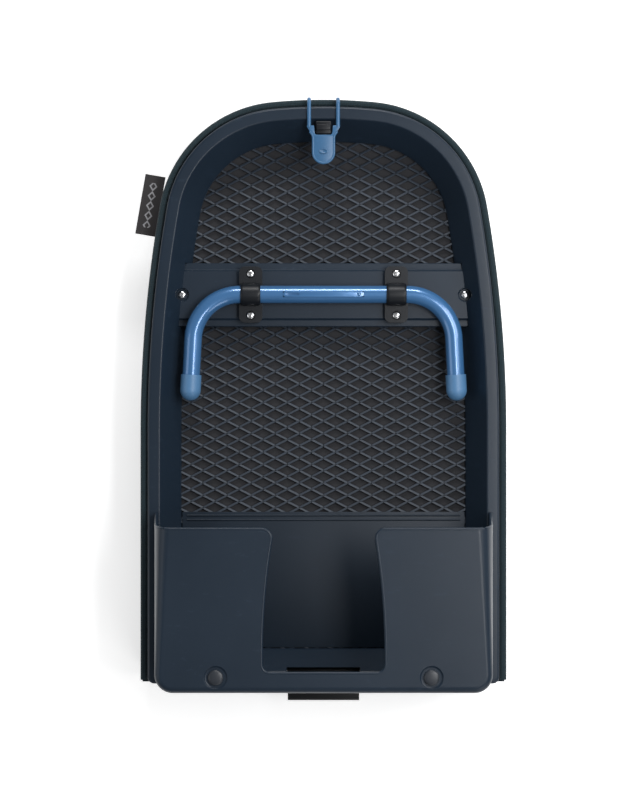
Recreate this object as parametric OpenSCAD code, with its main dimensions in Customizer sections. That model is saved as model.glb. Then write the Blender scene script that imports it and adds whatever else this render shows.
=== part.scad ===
// Folding table-top ironing board with iron storage, folded shut and lying on its rear half.
// Each half is drawn once, upside down: its ironing surface lies on z = 0 and z counts the depth
// below that surface. The rear half is then turned over and the front half is stacked on it.

/* [Board] */
// Length of one half, from its fold end to its nose
half_length = 528; // [440:1:640]
// Width of the board over its cover
board_width = 331; // [275:1:400]
// Depth of one half, from its ironing surface to the face of its rim
frame_depth = 40; // [36:1:48]
// Gap between the two ironing surfaces when the board is shut
fold_gap = 1; // [0.5:0.5:4]

/* [Outline] */
// Radius of the blunt nose
nose_r = 499; // [400:1:600]
// Radius of the two shoulders
shoulder_r = 114; // [90:1:130]
// Radius of the long sides
side_r = 1190; // [1000:10:1600]
// Distance from the nose back to where the sides run straight
taper_length = 299; // [270:1:320]

/* [Frame] */
// Width of the flat face of the rim
rim_w = 12; // [9:0.5:16]
// Radius along the edges of the rim
rim_edge_r = 3; // [1:0.5:4]
// How far the sloped inner wall leans in from the rim to the mesh
wall_run = 17; // [10:1:24]
// Radius of the frame's corners at the fold end
corner_r = 6; // [3:0.5:9]
// Thickness of the expanded metal
mesh_t = 2; // [1:0.25:3]
// How far the mesh reaches under the frame
mesh_seat = 13; // [8:1:14]

/* [Cover and pad] */
// Thickness of the cover cloth
cover_t = 1; // [0.6:0.1:1.5]
// Thickness of the felt pad
pad_t = 4; // [2:0.5:5]
// How far the padded cover stands outside the frame
cover_band = 7; // [5:0.5:9]
// Distance from the hem of the cover to the face of the rim
hem_lift = 5; // [2:0.5:8]
// Distance from the fold end to where the side of the cover stops
cover_end = 4; // [2:0.5:12]

/* [Cross plate] */
// Distance from the fold end to the leg's axis
leg_y = 352; // [320:1:400]
// Width of the whole cross plate
plate_w = 58; // [54:1:70]
// Width of its raised middle
plate_raised_w = 44.5; // [38:0.5:50]
// Height of the step between the two
plate_step = 2.5; // [1:0.5:4]
// Wall of the folded plate
plate_t = 2.5; // [1.5:0.25:4]
// Distance from the cross plate's end to its end screw
plate_screw_inset = 7.6; // [5:0.2:12]

/* [U leg] */
// Diameter of the leg tube
tube_d = 16; // [14:0.5:19]
// Wall of the leg tube
tube_wall = 1.2; // [0.8:0.1:2]
// Half the straight length of the tube between its bends
tube_straight = 76; // [66:1:90]
// Radius of the bends, to the middle of the tube
tube_bend_r = 42; // [30:1:50]
// How far each leg splays outward, in degrees
leg_splay = 3; // [0:0.5:6]
// Length of a leg from its axis to its foot
leg_length = 96; // [84:1:106]
// Diameter of the rubber cap
cap_d = 18.6; // [17.5:0.1:20]
// Length of the rubber cap
cap_length = 23.4; // [18:0.2:30]
// Depth of the leg's axis below the ironing surface
leg_depth = 27; // [26:0.5:30]
// Length of the latch spring let into the tube
spring_length = 73; // [50:1:90]
// Width of the latch spring
spring_w = 5; // [3:0.5:6]
// How far the latch spring stands out of the tube
spring_proud = 0.6; // [0.3:0.1:0.9]

/* [Saddles] */
// Distance from the middle to each saddle
saddle_x = 66; // [50:1:70]
// Width of a saddle's foot
saddle_w = 21; // [16:0.5:26]
// Width of the band over the tube
band_w = 18; // [12:0.5:22]
// Length of a saddle across the tube
saddle_length = 51; // [46:0.5:56]
// Thickness of the band over the tube
band_t = 2.2; // [1.5:0.1:2.8]
// Thickness of a saddle's foot
foot_t = 6; // [4:0.5:8]
// Distance from the tube's axis to each saddle screw
saddle_screw_y = 18.8; // [16:0.2:21]

/* [Screws] */
// Diameter of a screw's head
head_d = 7; // [6:0.2:8]
// Height of a screw's head
head_h = 2.4; // [1.6:0.1:3]
// Diameter of a screw's shank
shank_d = 3.5; // [3:0.1:4]

/* [Hinge] */
// Depth of each hinge pin below its ironing surface, and its distance from the fold end
pin_inset = 10; // [10:0.5:12]
// Diameter of a hinge pin
pin_d = 5; // [4:0.5:5.5]
// Length of the hinge pin that each side of the frame holds
pin_seat = 9; // [6:1:14]
// Radius of the link's eyes
eye_r = 4.2; // [3.6:0.1:4.2]
// Width of the hinge link
link_w = 65; // [50:1:80]
// How far the link stands out beyond the fold end
link_out = 17; // [13:0.5:18]

/* [Iron pocket] */
// Distance from the board's side to the pocket's side
pocket_inset = 14; // [12.5:0.5:30]
// Distance from the fold end to the pocket's mouth at the rim
pocket_mouth = 154; // [130:1:180]
// How much lower the mouth is at the front
mouth_drop = 10; // [0:1:20]
// Wall of the pocket
pocket_wall = 3; // [2:0.5:4]
// Radius of the pocket's upright corners
pocket_corner_r = 16; // [8:1:24]
// Radius of the pocket's front edges at its mouth
pocket_edge_r = 16; // [6:1:20]
// Radius of the pocket's front edges at its foot
pocket_foot_r = 6; // [4:1:10]
// Width of the cut-out at its top
cutout_top_w = 92; // [80:1:110]
// Width of the cut-out at its bottom
cutout_bottom_w = 109; // [90:1:130]
// Distance from the fold end to the bottom of the cut-out
cutout_sill = 18.5; // [12:0.5:30]
// Radius of the cut-out's corners
cutout_r = 8; // [4:0.5:14]
// Distance from the middle to each rubber bumper
bumper_x = 94; // [70:1:110]
// Distance from the fold end to each bumper
bumper_y = 15; // [13:0.5:20]
// Diameter of a bumper
bumper_d = 13.5; // [10:0.5:15]
// Diameter of the dish round a bumper
dish_d = 20; // [16:0.5:22]
// Thickness of the heat shield behind the iron
shield_t = 1.2; // [0.8:0.1:2]

/* [Latch] */
// Distance from the middle to each bar of the latch loop
bar_x = 13; // [11:0.5:16]
// Diameter of a bar of the loop
bar_d = 3.6; // [3:0.2:4.4]
// Diameter of the latch pin
latch_pin_d = 3; // [2.5:0.1:3]
// Width of the tab
tab_w = 20; // [16:0.5:24]
// Length of the tab, from its window to its tip
tab_length = 26; // [20:1:34]
// Thickness of the tab
tab_t = 3; // [2:0.25:4]
// Width of the window in the tab
window_w = 16; // [12:0.5:18]
// Length of the window in the tab
window_l = 8; // [7:0.5:10]

/* [Label] */
// Length of the woven label along the edge
label_length = 55; // [30:1:70]
// How far the label stands out of the edge
label_w = 18.5; // [12:0.5:26]
// Thickness of the folded label
label_t = 1; // [0.6:0.1:1.6]

/* [Hidden] */
$fn = 48;

fit = 0.1;          // clearance of a shank or tongue in its hole
running = 0.05;     // radial clearance of a turning pin
free = 0.8;         // clearance round a part that swings

half_w = board_width / 2;
pad_z = cover_t;                       // top of the pad
frame_z = cover_t + pad_t;             // top of the frame and of the mesh
mesh_back = frame_z + mesh_t;          // underside of the mesh
wall_foot = mesh_back + 2;             // where the sloped wall starts
mesh_inset = cover_band + rim_w + wall_run - mesh_seat;
rear_top = frame_depth;                // height of the rear ironing surface
front_top = frame_depth + fold_gap;    // height of the front ironing surface
shut_height = front_top + frame_depth; // height of the front rim's face
foot_depth = leg_depth + leg_length;   // how deep a swung-out leg reaches
plate_z = leg_depth - tube_d / 2 - 0.2; // face of the cross plate, just clear of the tube
plate_flange_z = plate_z - plate_step;
boss_z = mesh_back + 4;                // seat of the cross plate in the frame
screw_seat_z = plate_z + foot_t - 1.2; // seat of the saddle screws in their feet
plate_recess_d = head_d + 4.5;         // recess round each end screw
frame_end = cover_t;                   // the frame stops one cover short of the fold end
end_shift = cover_band - frame_end;    // the end wall stands further out than the sides
pocket_face = foot_depth - 1.5;        // the bumpers stand a little out of the pocket
pocket_lean = 4;                       // each side of the pocket leans in by this much
pocket_screw_l = 9;                    // how deep a pocket screw bites
boss_d = 9;                            // diameter of its boss
dish_depth = 1.2;                      // depth of the dish round a bumper
latch_y = half_length - 0.5;           // the latch pin lies in the line of the covers' edges
latch_z = 17;                          // its height
eye_outer_r = 3.4;                     // radius of the eyes of the loop
eye_w = bar_d + 1;                     // width of each eye
bracket_w = 2 * bar_x - eye_w - 1;     // the bracket fits between the eyes
window_y = half_length - 33;           // where the window in the loop starts
over_gap = 0.5;                        // gap between the loop and the rim it passes over
keeper_w = window_w - 1.5;
keeper_l = window_l + 4;
label_back = 96;                       // distance from the nose to the middle of the label
label_gap = 0.3;                       // gap between the label and the edge of the cover

// The outline: a blunt nose, two shoulders and two long sides, all tangent arcs.
nose_c = [0, half_length - nose_r];
side_c = [half_w - side_r, half_length - taper_length];
to_side = side_c - nose_c;
nose_reach = nose_r - shoulder_r;
side_reach = side_r - shoulder_r;
centre_gap = norm(to_side);
along = (nose_reach * nose_reach - side_reach * side_reach + centre_gap * centre_gap)
    / (2 * centre_gap);
across = sqrt(nose_reach * nose_reach - along * along);
unit = to_side / centre_gap;
shoulder_c = nose_c + unit * along + [unit.y, -unit.x] * across;
nose_a = atan2(shoulder_c.y - nose_c.y, shoulder_c.x - nose_c.x);
side_a = atan2(shoulder_c.y - side_c.y, shoulder_c.x - side_c.x);
side_y = side_c.y;
plate_reach = half_width_at(leg_y) - cover_band - rim_w - 4; // half the cross plate's length
plate_screw_x = plate_reach - plate_screw_inset;
pocket_half_w = board_width / 2 - pocket_inset;
middle_y = (latch_y + eye_outer_r - link_out) / 2;           // middle of the shut board

function arc(c, r, a0, a1, n, first = 0) =
    [for (i = [first:n]) let (a = a0 + (a1 - a0) * i / n) c + r * [cos(a), sin(a)]];

function right_side(inset, end_y, r) = concat(
    arc([half_w - inset - r, end_y + r], r, -90, 0, 6),
    arc(side_c, side_r - inset, 0, side_a, 6),
    arc(shoulder_c, shoulder_r - inset, side_a, nose_a, 16, 1),
    arc(nose_c, nose_r - inset, nose_a, 90, 3, 1));

function outline(inset, end_y, r) = let (side = right_side(inset, end_y, r))
    concat(side, [for (i = [len(side) - 2:-1:0]) [-side[i].x, side[i].y]]);

// Half the width of the outline at a distance y from the fold end
function half_width_at(y) = y < side_y ? half_w : side_c.x + sqrt(side_r * side_r
    - (y - side_y) * (y - side_y));

module both_sides() {
    children();
    mirror([1, 0, 0]) children();
}

// A slab of the outline between two depths
module slab(inset, end_y, z0, z1) {
    translate([0, 0, z0]) linear_extrude(z1 - z0) polygon(outline(inset, end_y, corner_r));
}

// A closed ring that follows the outline. Its section is a list of [inset, depth].
module swept_ring(section) {
    rings = [for (p = section) outline(p.x, p.x - end_shift, corner_r)];
    n = len(rings[0]);
    m = len(section);
    points = [for (j = [0:m - 1]) for (q = rings[j]) [q.x, q.y, section[j].y]];
    corner = function(j, k) (j % m) * n + k % n;
    faces = [for (j = [0:m - 1]) for (k = [0:n - 1])
        for (t = [[[j, k], [j + 1, k], [j + 1, k + 1]], [[j, k], [j + 1, k + 1], [j, k + 1]]])
            [for (c = t) corner(c.x, c.y)]];
    polyhedron(points, faces);
}

// Rounds the edge of the ironing surface at the fold end about the hinge pin's axis.
module round_fold_edge(r) {
    difference() {
        children();
        difference() {
            translate([-half_w, pin_inset - 3 * r, pin_inset - 3 * r])
                cube([board_width, 3 * r, 3 * r]);
            translate([-half_w - 1, pin_inset, pin_inset]) rotate([0, 90, 0])
                cylinder(r = r, h = board_width + 2, $fn = 96);
        }
    }
}

// Places: the shut board, a half turned over at the bottom, and a half on top
module shut() { translate([0, -middle_y, 0]) children(); }
module rear() { shut() translate([0, 0, rear_top]) mirror([0, 0, 1]) children(); }
module front() { shut() translate([0, 0, front_top]) children(); }

module x_rod(r, length) { rotate([0, 90, 0]) cylinder(r = r, h = length, center = true); }

module screw(length) {
    intersection() {
        cylinder(d = head_d, h = head_h);
        translate([0, 0, head_h - head_d]) sphere(d = 2 * head_d, $fn = 64);
    }
    translate([0, 0, -length]) cylinder(d = shank_d, h = length);
}

// ---------- one half of the board ----------

function frame_section() =
    let (rim_in = cover_band + rim_w, foot = rim_in + wall_run, ledge = mesh_inset - fit,
        top = frame_depth - rim_edge_r)
    concat(
        [[cover_band, frame_z]],
        arc([cover_band + rim_edge_r, top], rim_edge_r, 180, 90, 3),
        arc([rim_in - rim_edge_r, top], rim_edge_r, 90, 0, 3),
        [[foot, wall_foot], [foot, mesh_back], [ledge, mesh_back], [ledge, frame_z]]);

// The way of the hinge link through the fold end, from a depth z0 down
module hinge_notch(z0) {
    translate([-link_w / 2 - free, -1, z0])
        cube([link_w + 2 * free, pin_inset + eye_r + free + 1, 2 * frame_depth]);
}

// The cross plate reaches in under the wall, which is open round each end screw.
module plate_bed() {
    translate([-plate_reach - fit, leg_y - plate_w / 2 - fit, boss_z])
        cube([2 * (plate_reach + fit), plate_w + 2 * fit, plate_z + fit - boss_z]);
    plate_screw_places() translate([0, 0, -head_h]) cylinder(d = plate_recess_d, h = frame_depth);
}

module half_frame() {
    difference() {
        round_fold_edge(pin_inset - frame_end) swept_ring(frame_section());
        hinge_notch(frame_z - 1);
        translate([0, pin_inset, pin_inset]) x_rod(pin_d / 2, link_w + 2 * pin_seat);
        plate_bed();
        plate_screw_places() cylinder(d = shank_d + 2 * fit, h = 2 * frame_depth, center = true);
    }
}

// The front frame also carries the bosses for the pocket's screws and the seat of the keeper.
module front_half_frame() {
    difference() {
        union() {
            half_frame();
            pocket_screw_places() translate([0, 0, wall_foot - frame_depth])
                cylinder(d = boss_d, h = frame_depth - wall_foot);
        }
        pocket_screw_places() translate([0, 0, -pocket_screw_l - 1])
            cylinder(d = shank_d + 2 * fit, h = pocket_screw_l + 2);
        keeper_block(fit);
    }
}

module half_mesh() { slab(mesh_inset, mesh_inset - end_shift, frame_z, mesh_back); }

module bar_grooves() {
    for (s = [-1, 1]) translate([s * bar_x - bar_d / 2 - free, half_length - 5, -1])
        cube([bar_d + 2 * free, 10, frame_depth + 2]);
}

// Where the sides of the pad and the cover stop short of the fold end
module side_ends(z0) {
    translate([-board_width, cover_end - half_length, z0])
        cube([2 * board_width, half_length, 2 * frame_depth]);
}

// The felt lies on the frame and the mesh and folds down round the sides.
module half_pad() {
    outer = cover_t + fit;
    difference() {
        round_fold_edge(pin_inset - outer) slab(outer, outer, pad_z, frame_depth - hem_lift - outer);
        slab(cover_band - fit, -2 * cover_band, frame_z, frame_depth);
        side_ends(frame_z);
        bar_grooves();
    }
}

// The cover wraps the felt and the fold edge, and its hem turns in under the felt.
module half_cover() {
    hem = frame_depth - hem_lift;
    difference() {
        round_fold_edge(pin_inset) slab(0, 0, 0, hem);
        round_fold_edge(pin_inset - cover_t) slab(cover_t, cover_t, cover_t, hem - cover_t);
        slab(cover_band - fit, -2 * cover_band, pin_inset, frame_depth);
        side_ends(pin_inset);
        hinge_notch(frame_z);
        bar_grooves();
    }
}

// The window in the rear cover and pad where the latch bracket comes through
module bracket_window() {
    reach = bar_x + eye_w / 2 + 0.5 + free;
    translate([-reach, half_length - cover_band - 1, frame_depth - latch_z - 8])
        cube([2 * reach, cover_band + 5, frame_depth]);
}

module plate_blank() {
    translate([-plate_reach, leg_y - plate_w / 2, boss_z])
        cube([2 * plate_reach, plate_w, plate_flange_z - boss_z]);
    translate([-plate_reach, leg_y - plate_raised_w / 2, boss_z])
        cube([2 * plate_reach, plate_raised_w, plate_z - boss_z]);
}

module plate_screw_places() {
    for (s = [-1, 1]) translate([s * plate_screw_x, leg_y, plate_z]) children();
}

module saddle_screw_places(side) {
    for (s = [-1, 1]) translate([side * saddle_x, leg_y + s * saddle_screw_y, 0]) children();
}

module cross_plate() {
    hollow = 2 * (saddle_x - saddle_w);
    difference() {
        plate_blank();
        translate([-hollow / 2, leg_y - plate_raised_w / 2 + plate_t, boss_z - 1])
            cube([hollow, plate_raised_w - 2 * plate_t, plate_z - boss_z - plate_t + 1]);
        plate_screw_places() {
            cylinder(d = shank_d + 2 * fit, h = 2 * frame_depth, center = true);
            translate([0, 0, -head_h]) cylinder(d = plate_recess_d, h = frame_depth);
        }
        for (side = [-1, 1]) saddle_screw_places(side)
            cylinder(d = shank_d + 2 * fit, h = frame_depth);
    }
}

module plate_screws() {
    plate_screw_places() translate([0, 0, -head_h])
        screw(plate_z - head_h - mesh_back - 0.5);
}

module saddle(side) {
    difference() {
        union() {
            translate([side * saddle_x, leg_y, plate_z]) linear_extrude(foot_t)
                rounded_plate(saddle_w, saddle_length, 4);
            translate([side * saddle_x, leg_y, leg_depth]) x_rod(tube_d / 2 + band_t, band_w);
            translate([side * saddle_x - band_w / 2, leg_y - tube_d / 2 - band_t, plate_z])
                cube([band_w, tube_d + 2 * band_t, leg_depth - plate_z]);
        }
        translate([side * saddle_x, leg_y, leg_depth]) x_rod(tube_d / 2 + running, saddle_w + 2);
        translate([side * saddle_x - saddle_w, leg_y - tube_d / 2, 0])
            cube([2 * saddle_w, tube_d, plate_z]);
        saddle_screw_places(side) {
            cylinder(d = shank_d + 2 * fit, h = frame_depth);
            translate([0, 0, screw_seat_z]) cylinder(d = head_d + 1, h = frame_depth);
        }
    }
}

module rounded_plate(w, l, r) {
    polygon(concat(
        arc([w / 2 - r, l / 2 - r], r, 0, 90, 6), arc([r - w / 2, l / 2 - r], r, 90, 180, 6),
        arc([r - w / 2, r - l / 2], r, 180, 270, 6), arc([w / 2 - r, r - l / 2], r, 270, 360, 6)));
}

module saddle_screws() {
    for (side = [-1, 1]) saddle_screw_places(side)
        translate([0, 0, screw_seat_z]) screw(screw_seat_z - boss_z - 0.5);
}

module hinge_pin() {
    translate([0, pin_inset, pin_inset]) x_rod(pin_d / 2, link_w + 2 * pin_seat - 1);
}

// ---------- the U leg ----------

// Length of the straight leg below its bend
leg_run = (leg_length - tube_bend_r) / cos(leg_splay) + tube_bend_r * tan(leg_splay);
cap_depth = 12; // how far the tube reaches into its cap

module tube_ring() {
    difference() {
        circle(d = tube_d);
        circle(d = tube_d - 2 * tube_wall);
    }
}

// On each side, a frame at the middle of the bend that is turned with the leg
module at_bends() {
    both_sides() translate([tube_straight, -tube_bend_r, 0]) rotate([0, 0, leg_splay]) children();
}

// A distance down the leg from the end of its bend, with +Z along the leg
module down_leg(run) { translate([tube_bend_r, -run, 0]) rotate([90, 0, 0]) children(); }

// The tube: a straight run that turns in the saddles, two bends and two legs
module bent_tube() {
    rotate([0, 90, 0]) linear_extrude(2 * tube_straight, center = true) tube_ring();
    at_bends() {
        rotate_extrude(angle = 90 - leg_splay) translate([tube_bend_r, 0]) tube_ring();
        down_leg(0) linear_extrude(leg_run - cap_length + cap_depth) tube_ring();
    }
}

module spring_box(grow = 0) {
    translate([-spring_length / 2 - grow, -spring_w / 2 - grow, tube_d / 2 - 2 - grow])
        cube([spring_length + 2 * grow, spring_w + 2 * grow, 2 + spring_proud + grow]);
}

module at_leg() { translate([0, leg_y, leg_depth]) children(); }

module leg_tube() {
    at_leg() difference() {
        bent_tube();
        spring_box(running);
    }
}

module leg_caps() {
    at_leg() at_bends() down_leg(leg_run - cap_length) difference() {
        union() {
            cylinder(d = cap_d, h = cap_length - cap_d / 2);
            translate([0, 0, cap_length - cap_d / 2]) sphere(d = cap_d);
        }
        translate([0, 0, -1]) cylinder(d = tube_d, h = cap_depth + 1);
    }
}

module leg_spring() { at_leg() spring_box(); }

// ---------- hinge, pocket and latch ----------

link_pitch = 2 * pin_inset + fold_gap;

// Drawn in the shut pose about the rear pin: the spine passes outside both fold edges.
module link() {
    spine = pin_inset + link_out;
    translate([0, pin_inset, rear_top - pin_inset]) difference() {
        union() {
            translate([-link_w / 2, -spine, -eye_r]) cube([link_w, link_out - 1.5, link_pitch + 2 * eye_r]);
            for (z = [0, link_pitch]) translate([0, 0, z]) {
                x_rod(eye_r, link_w);
                translate([-link_w / 2, -spine + 1, -eye_r]) cube([link_w, spine - 1, 2 * eye_r]);
            }
        }
        for (z = [0, link_pitch]) translate([0, 0, z]) x_rod(pin_d / 2 + running, link_w + 2);
    }
}

// A solid with a rounded front, drawn past the pocket's mouth
module pocket_form(shrink, z0) {
    r = pocket_corner_r - shrink;
    w = pocket_half_w - shrink;
    low = frame_end + shrink;
    high = pocket_mouth + 30;
    hull() both_sides() for (end = [[low + r, pocket_foot_r], [high, pocket_edge_r]]) {
        e = min(end[1], pocket_corner_r) - shrink;
        translate([w - r, end[0], z0]) cylinder(r = r, h = 1, $fn = 32);
        translate([w - pocket_lean - r, end[0], pocket_face - shrink - e]) rounded_disc(r, e);
    }
}

module rounded_disc(r, e) {
    rotate_extrude($fn = 32) polygon(concat([[0, 0]], arc([r - e, 0], e, 0, 90, 6), [[0, e]]));
}

// The front is open from its mouth down to the sill, wider at the bottom.
module pocket_cutout() {
    top = pocket_mouth - mouth_drop - cutout_r + 0.6; // its round corners run past the mouth
    bottom_half = cutout_bottom_w / 2;
    top_half = cutout_top_w / 2;
    straight = cutout_sill + 16;
    side = concat(
        arc([bottom_half - cutout_r, cutout_sill + cutout_r], cutout_r, -90, 0, 8),
        [for (t = [0:0.1:1]) [bottom_half - (bottom_half - top_half) * t * t,
            straight + (top - straight) * t]],
        arc([top_half + cutout_r, top], cutout_r, 180, 90, 8, 1),
        [[top_half + cutout_r, top + 60]]);
    translate([0, 0, pocket_face - pocket_edge_r - 2 * pocket_wall])
        linear_extrude(foot_depth)
            polygon(concat(side, [for (i = [len(side) - 1:-1:0]) [-side[i].x, side[i].y]]));
}

module bumper_places() {
    for (s = [-1, 1]) translate([s * bumper_x, bumper_y, pocket_face]) children();
}

module pocket_screw_places() {
    x = pocket_half_w - pocket_wall - boss_d / 2 - 1;
    for (s = [-1, 1]) for (y = [40, pocket_mouth - 24])
        translate([s * x, y, frame_depth]) children();
}

module pocket() {
    ear = boss_d + 3;
    difference() {
        union() {
            difference() {
                pocket_form(0, frame_depth);
                pocket_form(pocket_wall, frame_depth - 1);
                pocket_cutout();
            }
            both_sides() for (y = [40, pocket_mouth - 24])
                translate([pocket_half_w - pocket_wall - ear + 0.5, y - ear / 2, frame_depth])
                    cube([ear, ear, pocket_wall]);
        }
        translate([-half_w, pocket_mouth, frame_depth])
            rotate([atan2(mouth_drop, pocket_face - frame_depth), 0, 0])
                translate([0, 0, -half_length / 2]) cube([board_width, half_length, half_length]);
        pocket_screw_places() cylinder(d = shank_d + 2 * fit, h = 4 * pocket_wall, center = true);
        bumper_places() {
            translate([0, 0, -dish_depth]) cylinder(d = dish_d, h = 4 * dish_depth);
            cylinder(d = shank_d + 2 * fit, h = 4 * pocket_wall, center = true);
        }
    }
}

module pocket_screws() {
    pocket_screw_places() translate([0, 0, pocket_wall]) screw(pocket_wall + pocket_screw_l);
}

module pocket_bumpers() {
    rise = foot_depth - pocket_face + dish_depth;
    bumper_places() translate([0, 0, -dish_depth]) {
        rotate_extrude() polygon(concat([[0, 0], [bumper_d / 2, 0]],
            arc([bumper_d / 2 - 2, rise - 2], 2, 0, 90, 6), [[0, rise]]));
        translate([0, 0, -pocket_wall]) cylinder(d = shank_d, h = pocket_wall + 1);
    }
}

module heat_shield() {
    x = half_w - cover_band - rim_w - wall_run - free;
    y = rim_w + wall_run + frame_end + free;
    translate([-x, y, mesh_back]) cube([2 * x, pocket_mouth - y + 0.5, shield_t]);
}

// The keeper is let into the sloped wall at the nose. Its catch stands up inside the loop.
module keeper_block(grow = 0) {
    translate([-keeper_w / 2 - grow, window_y + 0.8 - grow, wall_foot + 4 - grow])
        cube([keeper_w + 2 * grow, keeper_l + 2 * grow, frame_depth - wall_foot - 4 + grow]);
}

module keeper() {
    keeper_block();
    translate([-keeper_w / 2, window_y + 4, frame_depth - 1]) cube([keeper_w, keeper_l - 6, 2.5]);
}

module bracket() {
    difference() {
        translate([-bracket_w / 2, half_length - cover_band, latch_z - 6])
            cube([bracket_w, latch_y - half_length + cover_band + latch_pin_d, 12]);
        translate([0, latch_y, latch_z]) x_rod(latch_pin_d / 2, 2 * half_w);
    }
}

module latch_pin() {
    translate([0, latch_y, latch_z]) x_rod(latch_pin_d / 2, 2 * bar_x + eye_w + 1);
}

// The blue loop: two bars from the latch pin over the front rim, joined by a tab
module strap() {
    over_z = shut_height + over_gap + tab_t / 2;
    bend = bar_d + 1;
    window_top = window_y + window_l;
    edge = bar_x + bar_d / 2;
    both_sides() translate([bar_x, latch_y, 0]) difference() {
        union() {
            translate([0, 0, latch_z]) x_rod(eye_outer_r, eye_w);
            translate([0, 0, latch_z]) linear_extrude(over_z - bend - latch_z) bar_ring();
            translate([0, -bend, over_z - bend]) rotate([90, 0, 90])
                rotate_extrude(angle = 90) translate([bend, 0]) bar_ring();
            translate([0, -bend, over_z]) rotate([90, 0, 0])
                linear_extrude(latch_y - bend - window_top) bar_ring();
        }
        translate([0, 0, latch_z]) x_rod(latch_pin_d / 2 + running, 2 * eye_w);
    }
    translate([0, 0, shut_height + over_gap]) linear_extrude(tab_t) difference() {
        polygon(concat(
            [[tab_w / 2, window_top - 4], [edge, window_top], [edge, window_top + 3],
                [-edge, window_top + 3], [-edge, window_top], [-tab_w / 2, window_top - 4]],
            arc([0, window_y - tab_length + tab_w / 2], tab_w / 2, 180, 360, 24)));
        translate([-window_w / 2, window_y]) square([window_w, window_l + 10]);
    }
}

module bar_ring() { circle(d = bar_d, $fn = 12); }

// A folded woven label sewn into the edge of the front cover
module label() {
    y = half_length - label_back;
    tilt = asin((y - side_y) / side_r);
    translate([-half_width_at(y) - label_gap, y, cover_t + pad_t + 8])
        rotate([0, 0, -tilt]) translate([-label_w, -label_length / 2, 0])
            cube([label_w, label_length, label_t]);
}

// ---------- assembly ----------

module rear_pad() {
    difference() {
        half_pad();
        bracket_window();
    }
}

module rear_cover() {
    difference() {
        half_cover();
        bracket_window();
    }
}

frame_colour = "#26323c";
mesh_colour = "#3a4046";
felt_colour = "#34383b";
cloth_colour = "#14343c";
saddle_colour = "#2b3036";
steel_colour = "#c9ccd0";
tube_colour = "#3a74b4";
cap_colour = "#5a8ebe";
label_colour = "#3a3331";

color(frame_colour) rear() half_frame();  // rear_frame
color(mesh_colour) rear() half_mesh();  // rear_mesh
color(felt_colour) rear() rear_pad();
color(cloth_colour) rear() rear_cover();
color(frame_colour) rear() cross_plate();  // rear_cross_plate
color(steel_colour) rear() plate_screws();  // rear_plate_screws
color(saddle_colour) rear() saddle(-1);  // rear_saddle_left
color(saddle_colour) rear() saddle(1);  // rear_saddle_right
color(steel_colour) rear() saddle_screws();  // rear_saddle_screws
color(steel_colour) rear() hinge_pin();  // rear_hinge_pin
color(saddle_colour) shut() bracket();  // latch_bracket
color(steel_colour) shut() latch_pin();
color(frame_colour) front() front_half_frame();  // front_frame
color(mesh_colour) front() half_mesh();  // front_mesh
color(felt_colour) front() half_pad();  // front_pad
color(cloth_colour) front() half_cover();  // front_cover
color(frame_colour) front() cross_plate();  // front_cross_plate
color(steel_colour) front() plate_screws();  // front_plate_screws
color(saddle_colour) front() saddle(-1);  // front_saddle_left
color(saddle_colour) front() saddle(1);  // front_saddle_right
color(steel_colour) front() saddle_screws();  // front_saddle_screws
color(steel_colour) front() hinge_pin();  // front_hinge_pin
color(frame_colour) front() pocket();  // iron_pocket
color(steel_colour) front() pocket_screws();
color(saddle_colour) front() pocket_bumpers();
color(frame_colour) front() heat_shield();
color(saddle_colour) front() keeper();  // latch_keeper
color(label_colour) front() label();  // label_tag
color(tube_colour) rear() leg_tube();  // rear_leg_tube
color(cap_colour) rear() leg_caps();  // rear_leg_caps
color(tube_colour) rear() leg_spring();  // rear_leg_spring
color(tube_colour) front() leg_tube();  // front_leg_tube
color(cap_colour) front() leg_caps();  // front_leg_caps
color(tube_colour) front() leg_spring();  // front_leg_spring
color(saddle_colour) shut() link();  // hinge_link
color(tube_colour) shut() strap();  // latch_strap
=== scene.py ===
import math

import bmesh
import bpy
import numpy as np
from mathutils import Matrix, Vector, geometry


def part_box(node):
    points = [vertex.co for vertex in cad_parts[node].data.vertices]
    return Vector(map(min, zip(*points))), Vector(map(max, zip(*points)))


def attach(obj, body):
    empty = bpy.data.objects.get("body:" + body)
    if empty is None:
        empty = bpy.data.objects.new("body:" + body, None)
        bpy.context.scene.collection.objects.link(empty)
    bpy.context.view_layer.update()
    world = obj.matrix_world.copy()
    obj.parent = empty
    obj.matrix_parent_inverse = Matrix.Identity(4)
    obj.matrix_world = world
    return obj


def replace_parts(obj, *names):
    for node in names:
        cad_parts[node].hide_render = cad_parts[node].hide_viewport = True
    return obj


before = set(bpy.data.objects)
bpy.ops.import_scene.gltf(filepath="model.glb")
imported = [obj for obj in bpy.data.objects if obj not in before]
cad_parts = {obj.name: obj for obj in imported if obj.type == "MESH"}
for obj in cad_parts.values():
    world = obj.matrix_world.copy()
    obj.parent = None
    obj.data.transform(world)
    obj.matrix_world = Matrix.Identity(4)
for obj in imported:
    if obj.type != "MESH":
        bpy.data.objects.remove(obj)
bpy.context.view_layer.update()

bl_info = {
    "name": "Folding ironing board",
    "version": (1, 0, 0),
    "blender": (4, 5, 0),
    "location": "View3D > Sidebar > Ironing board",
    "description": "Dresses a table-top ironing board: shells, lattice, cloth, legs, pocket and latch",
    "category": "Object",
}

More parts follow.
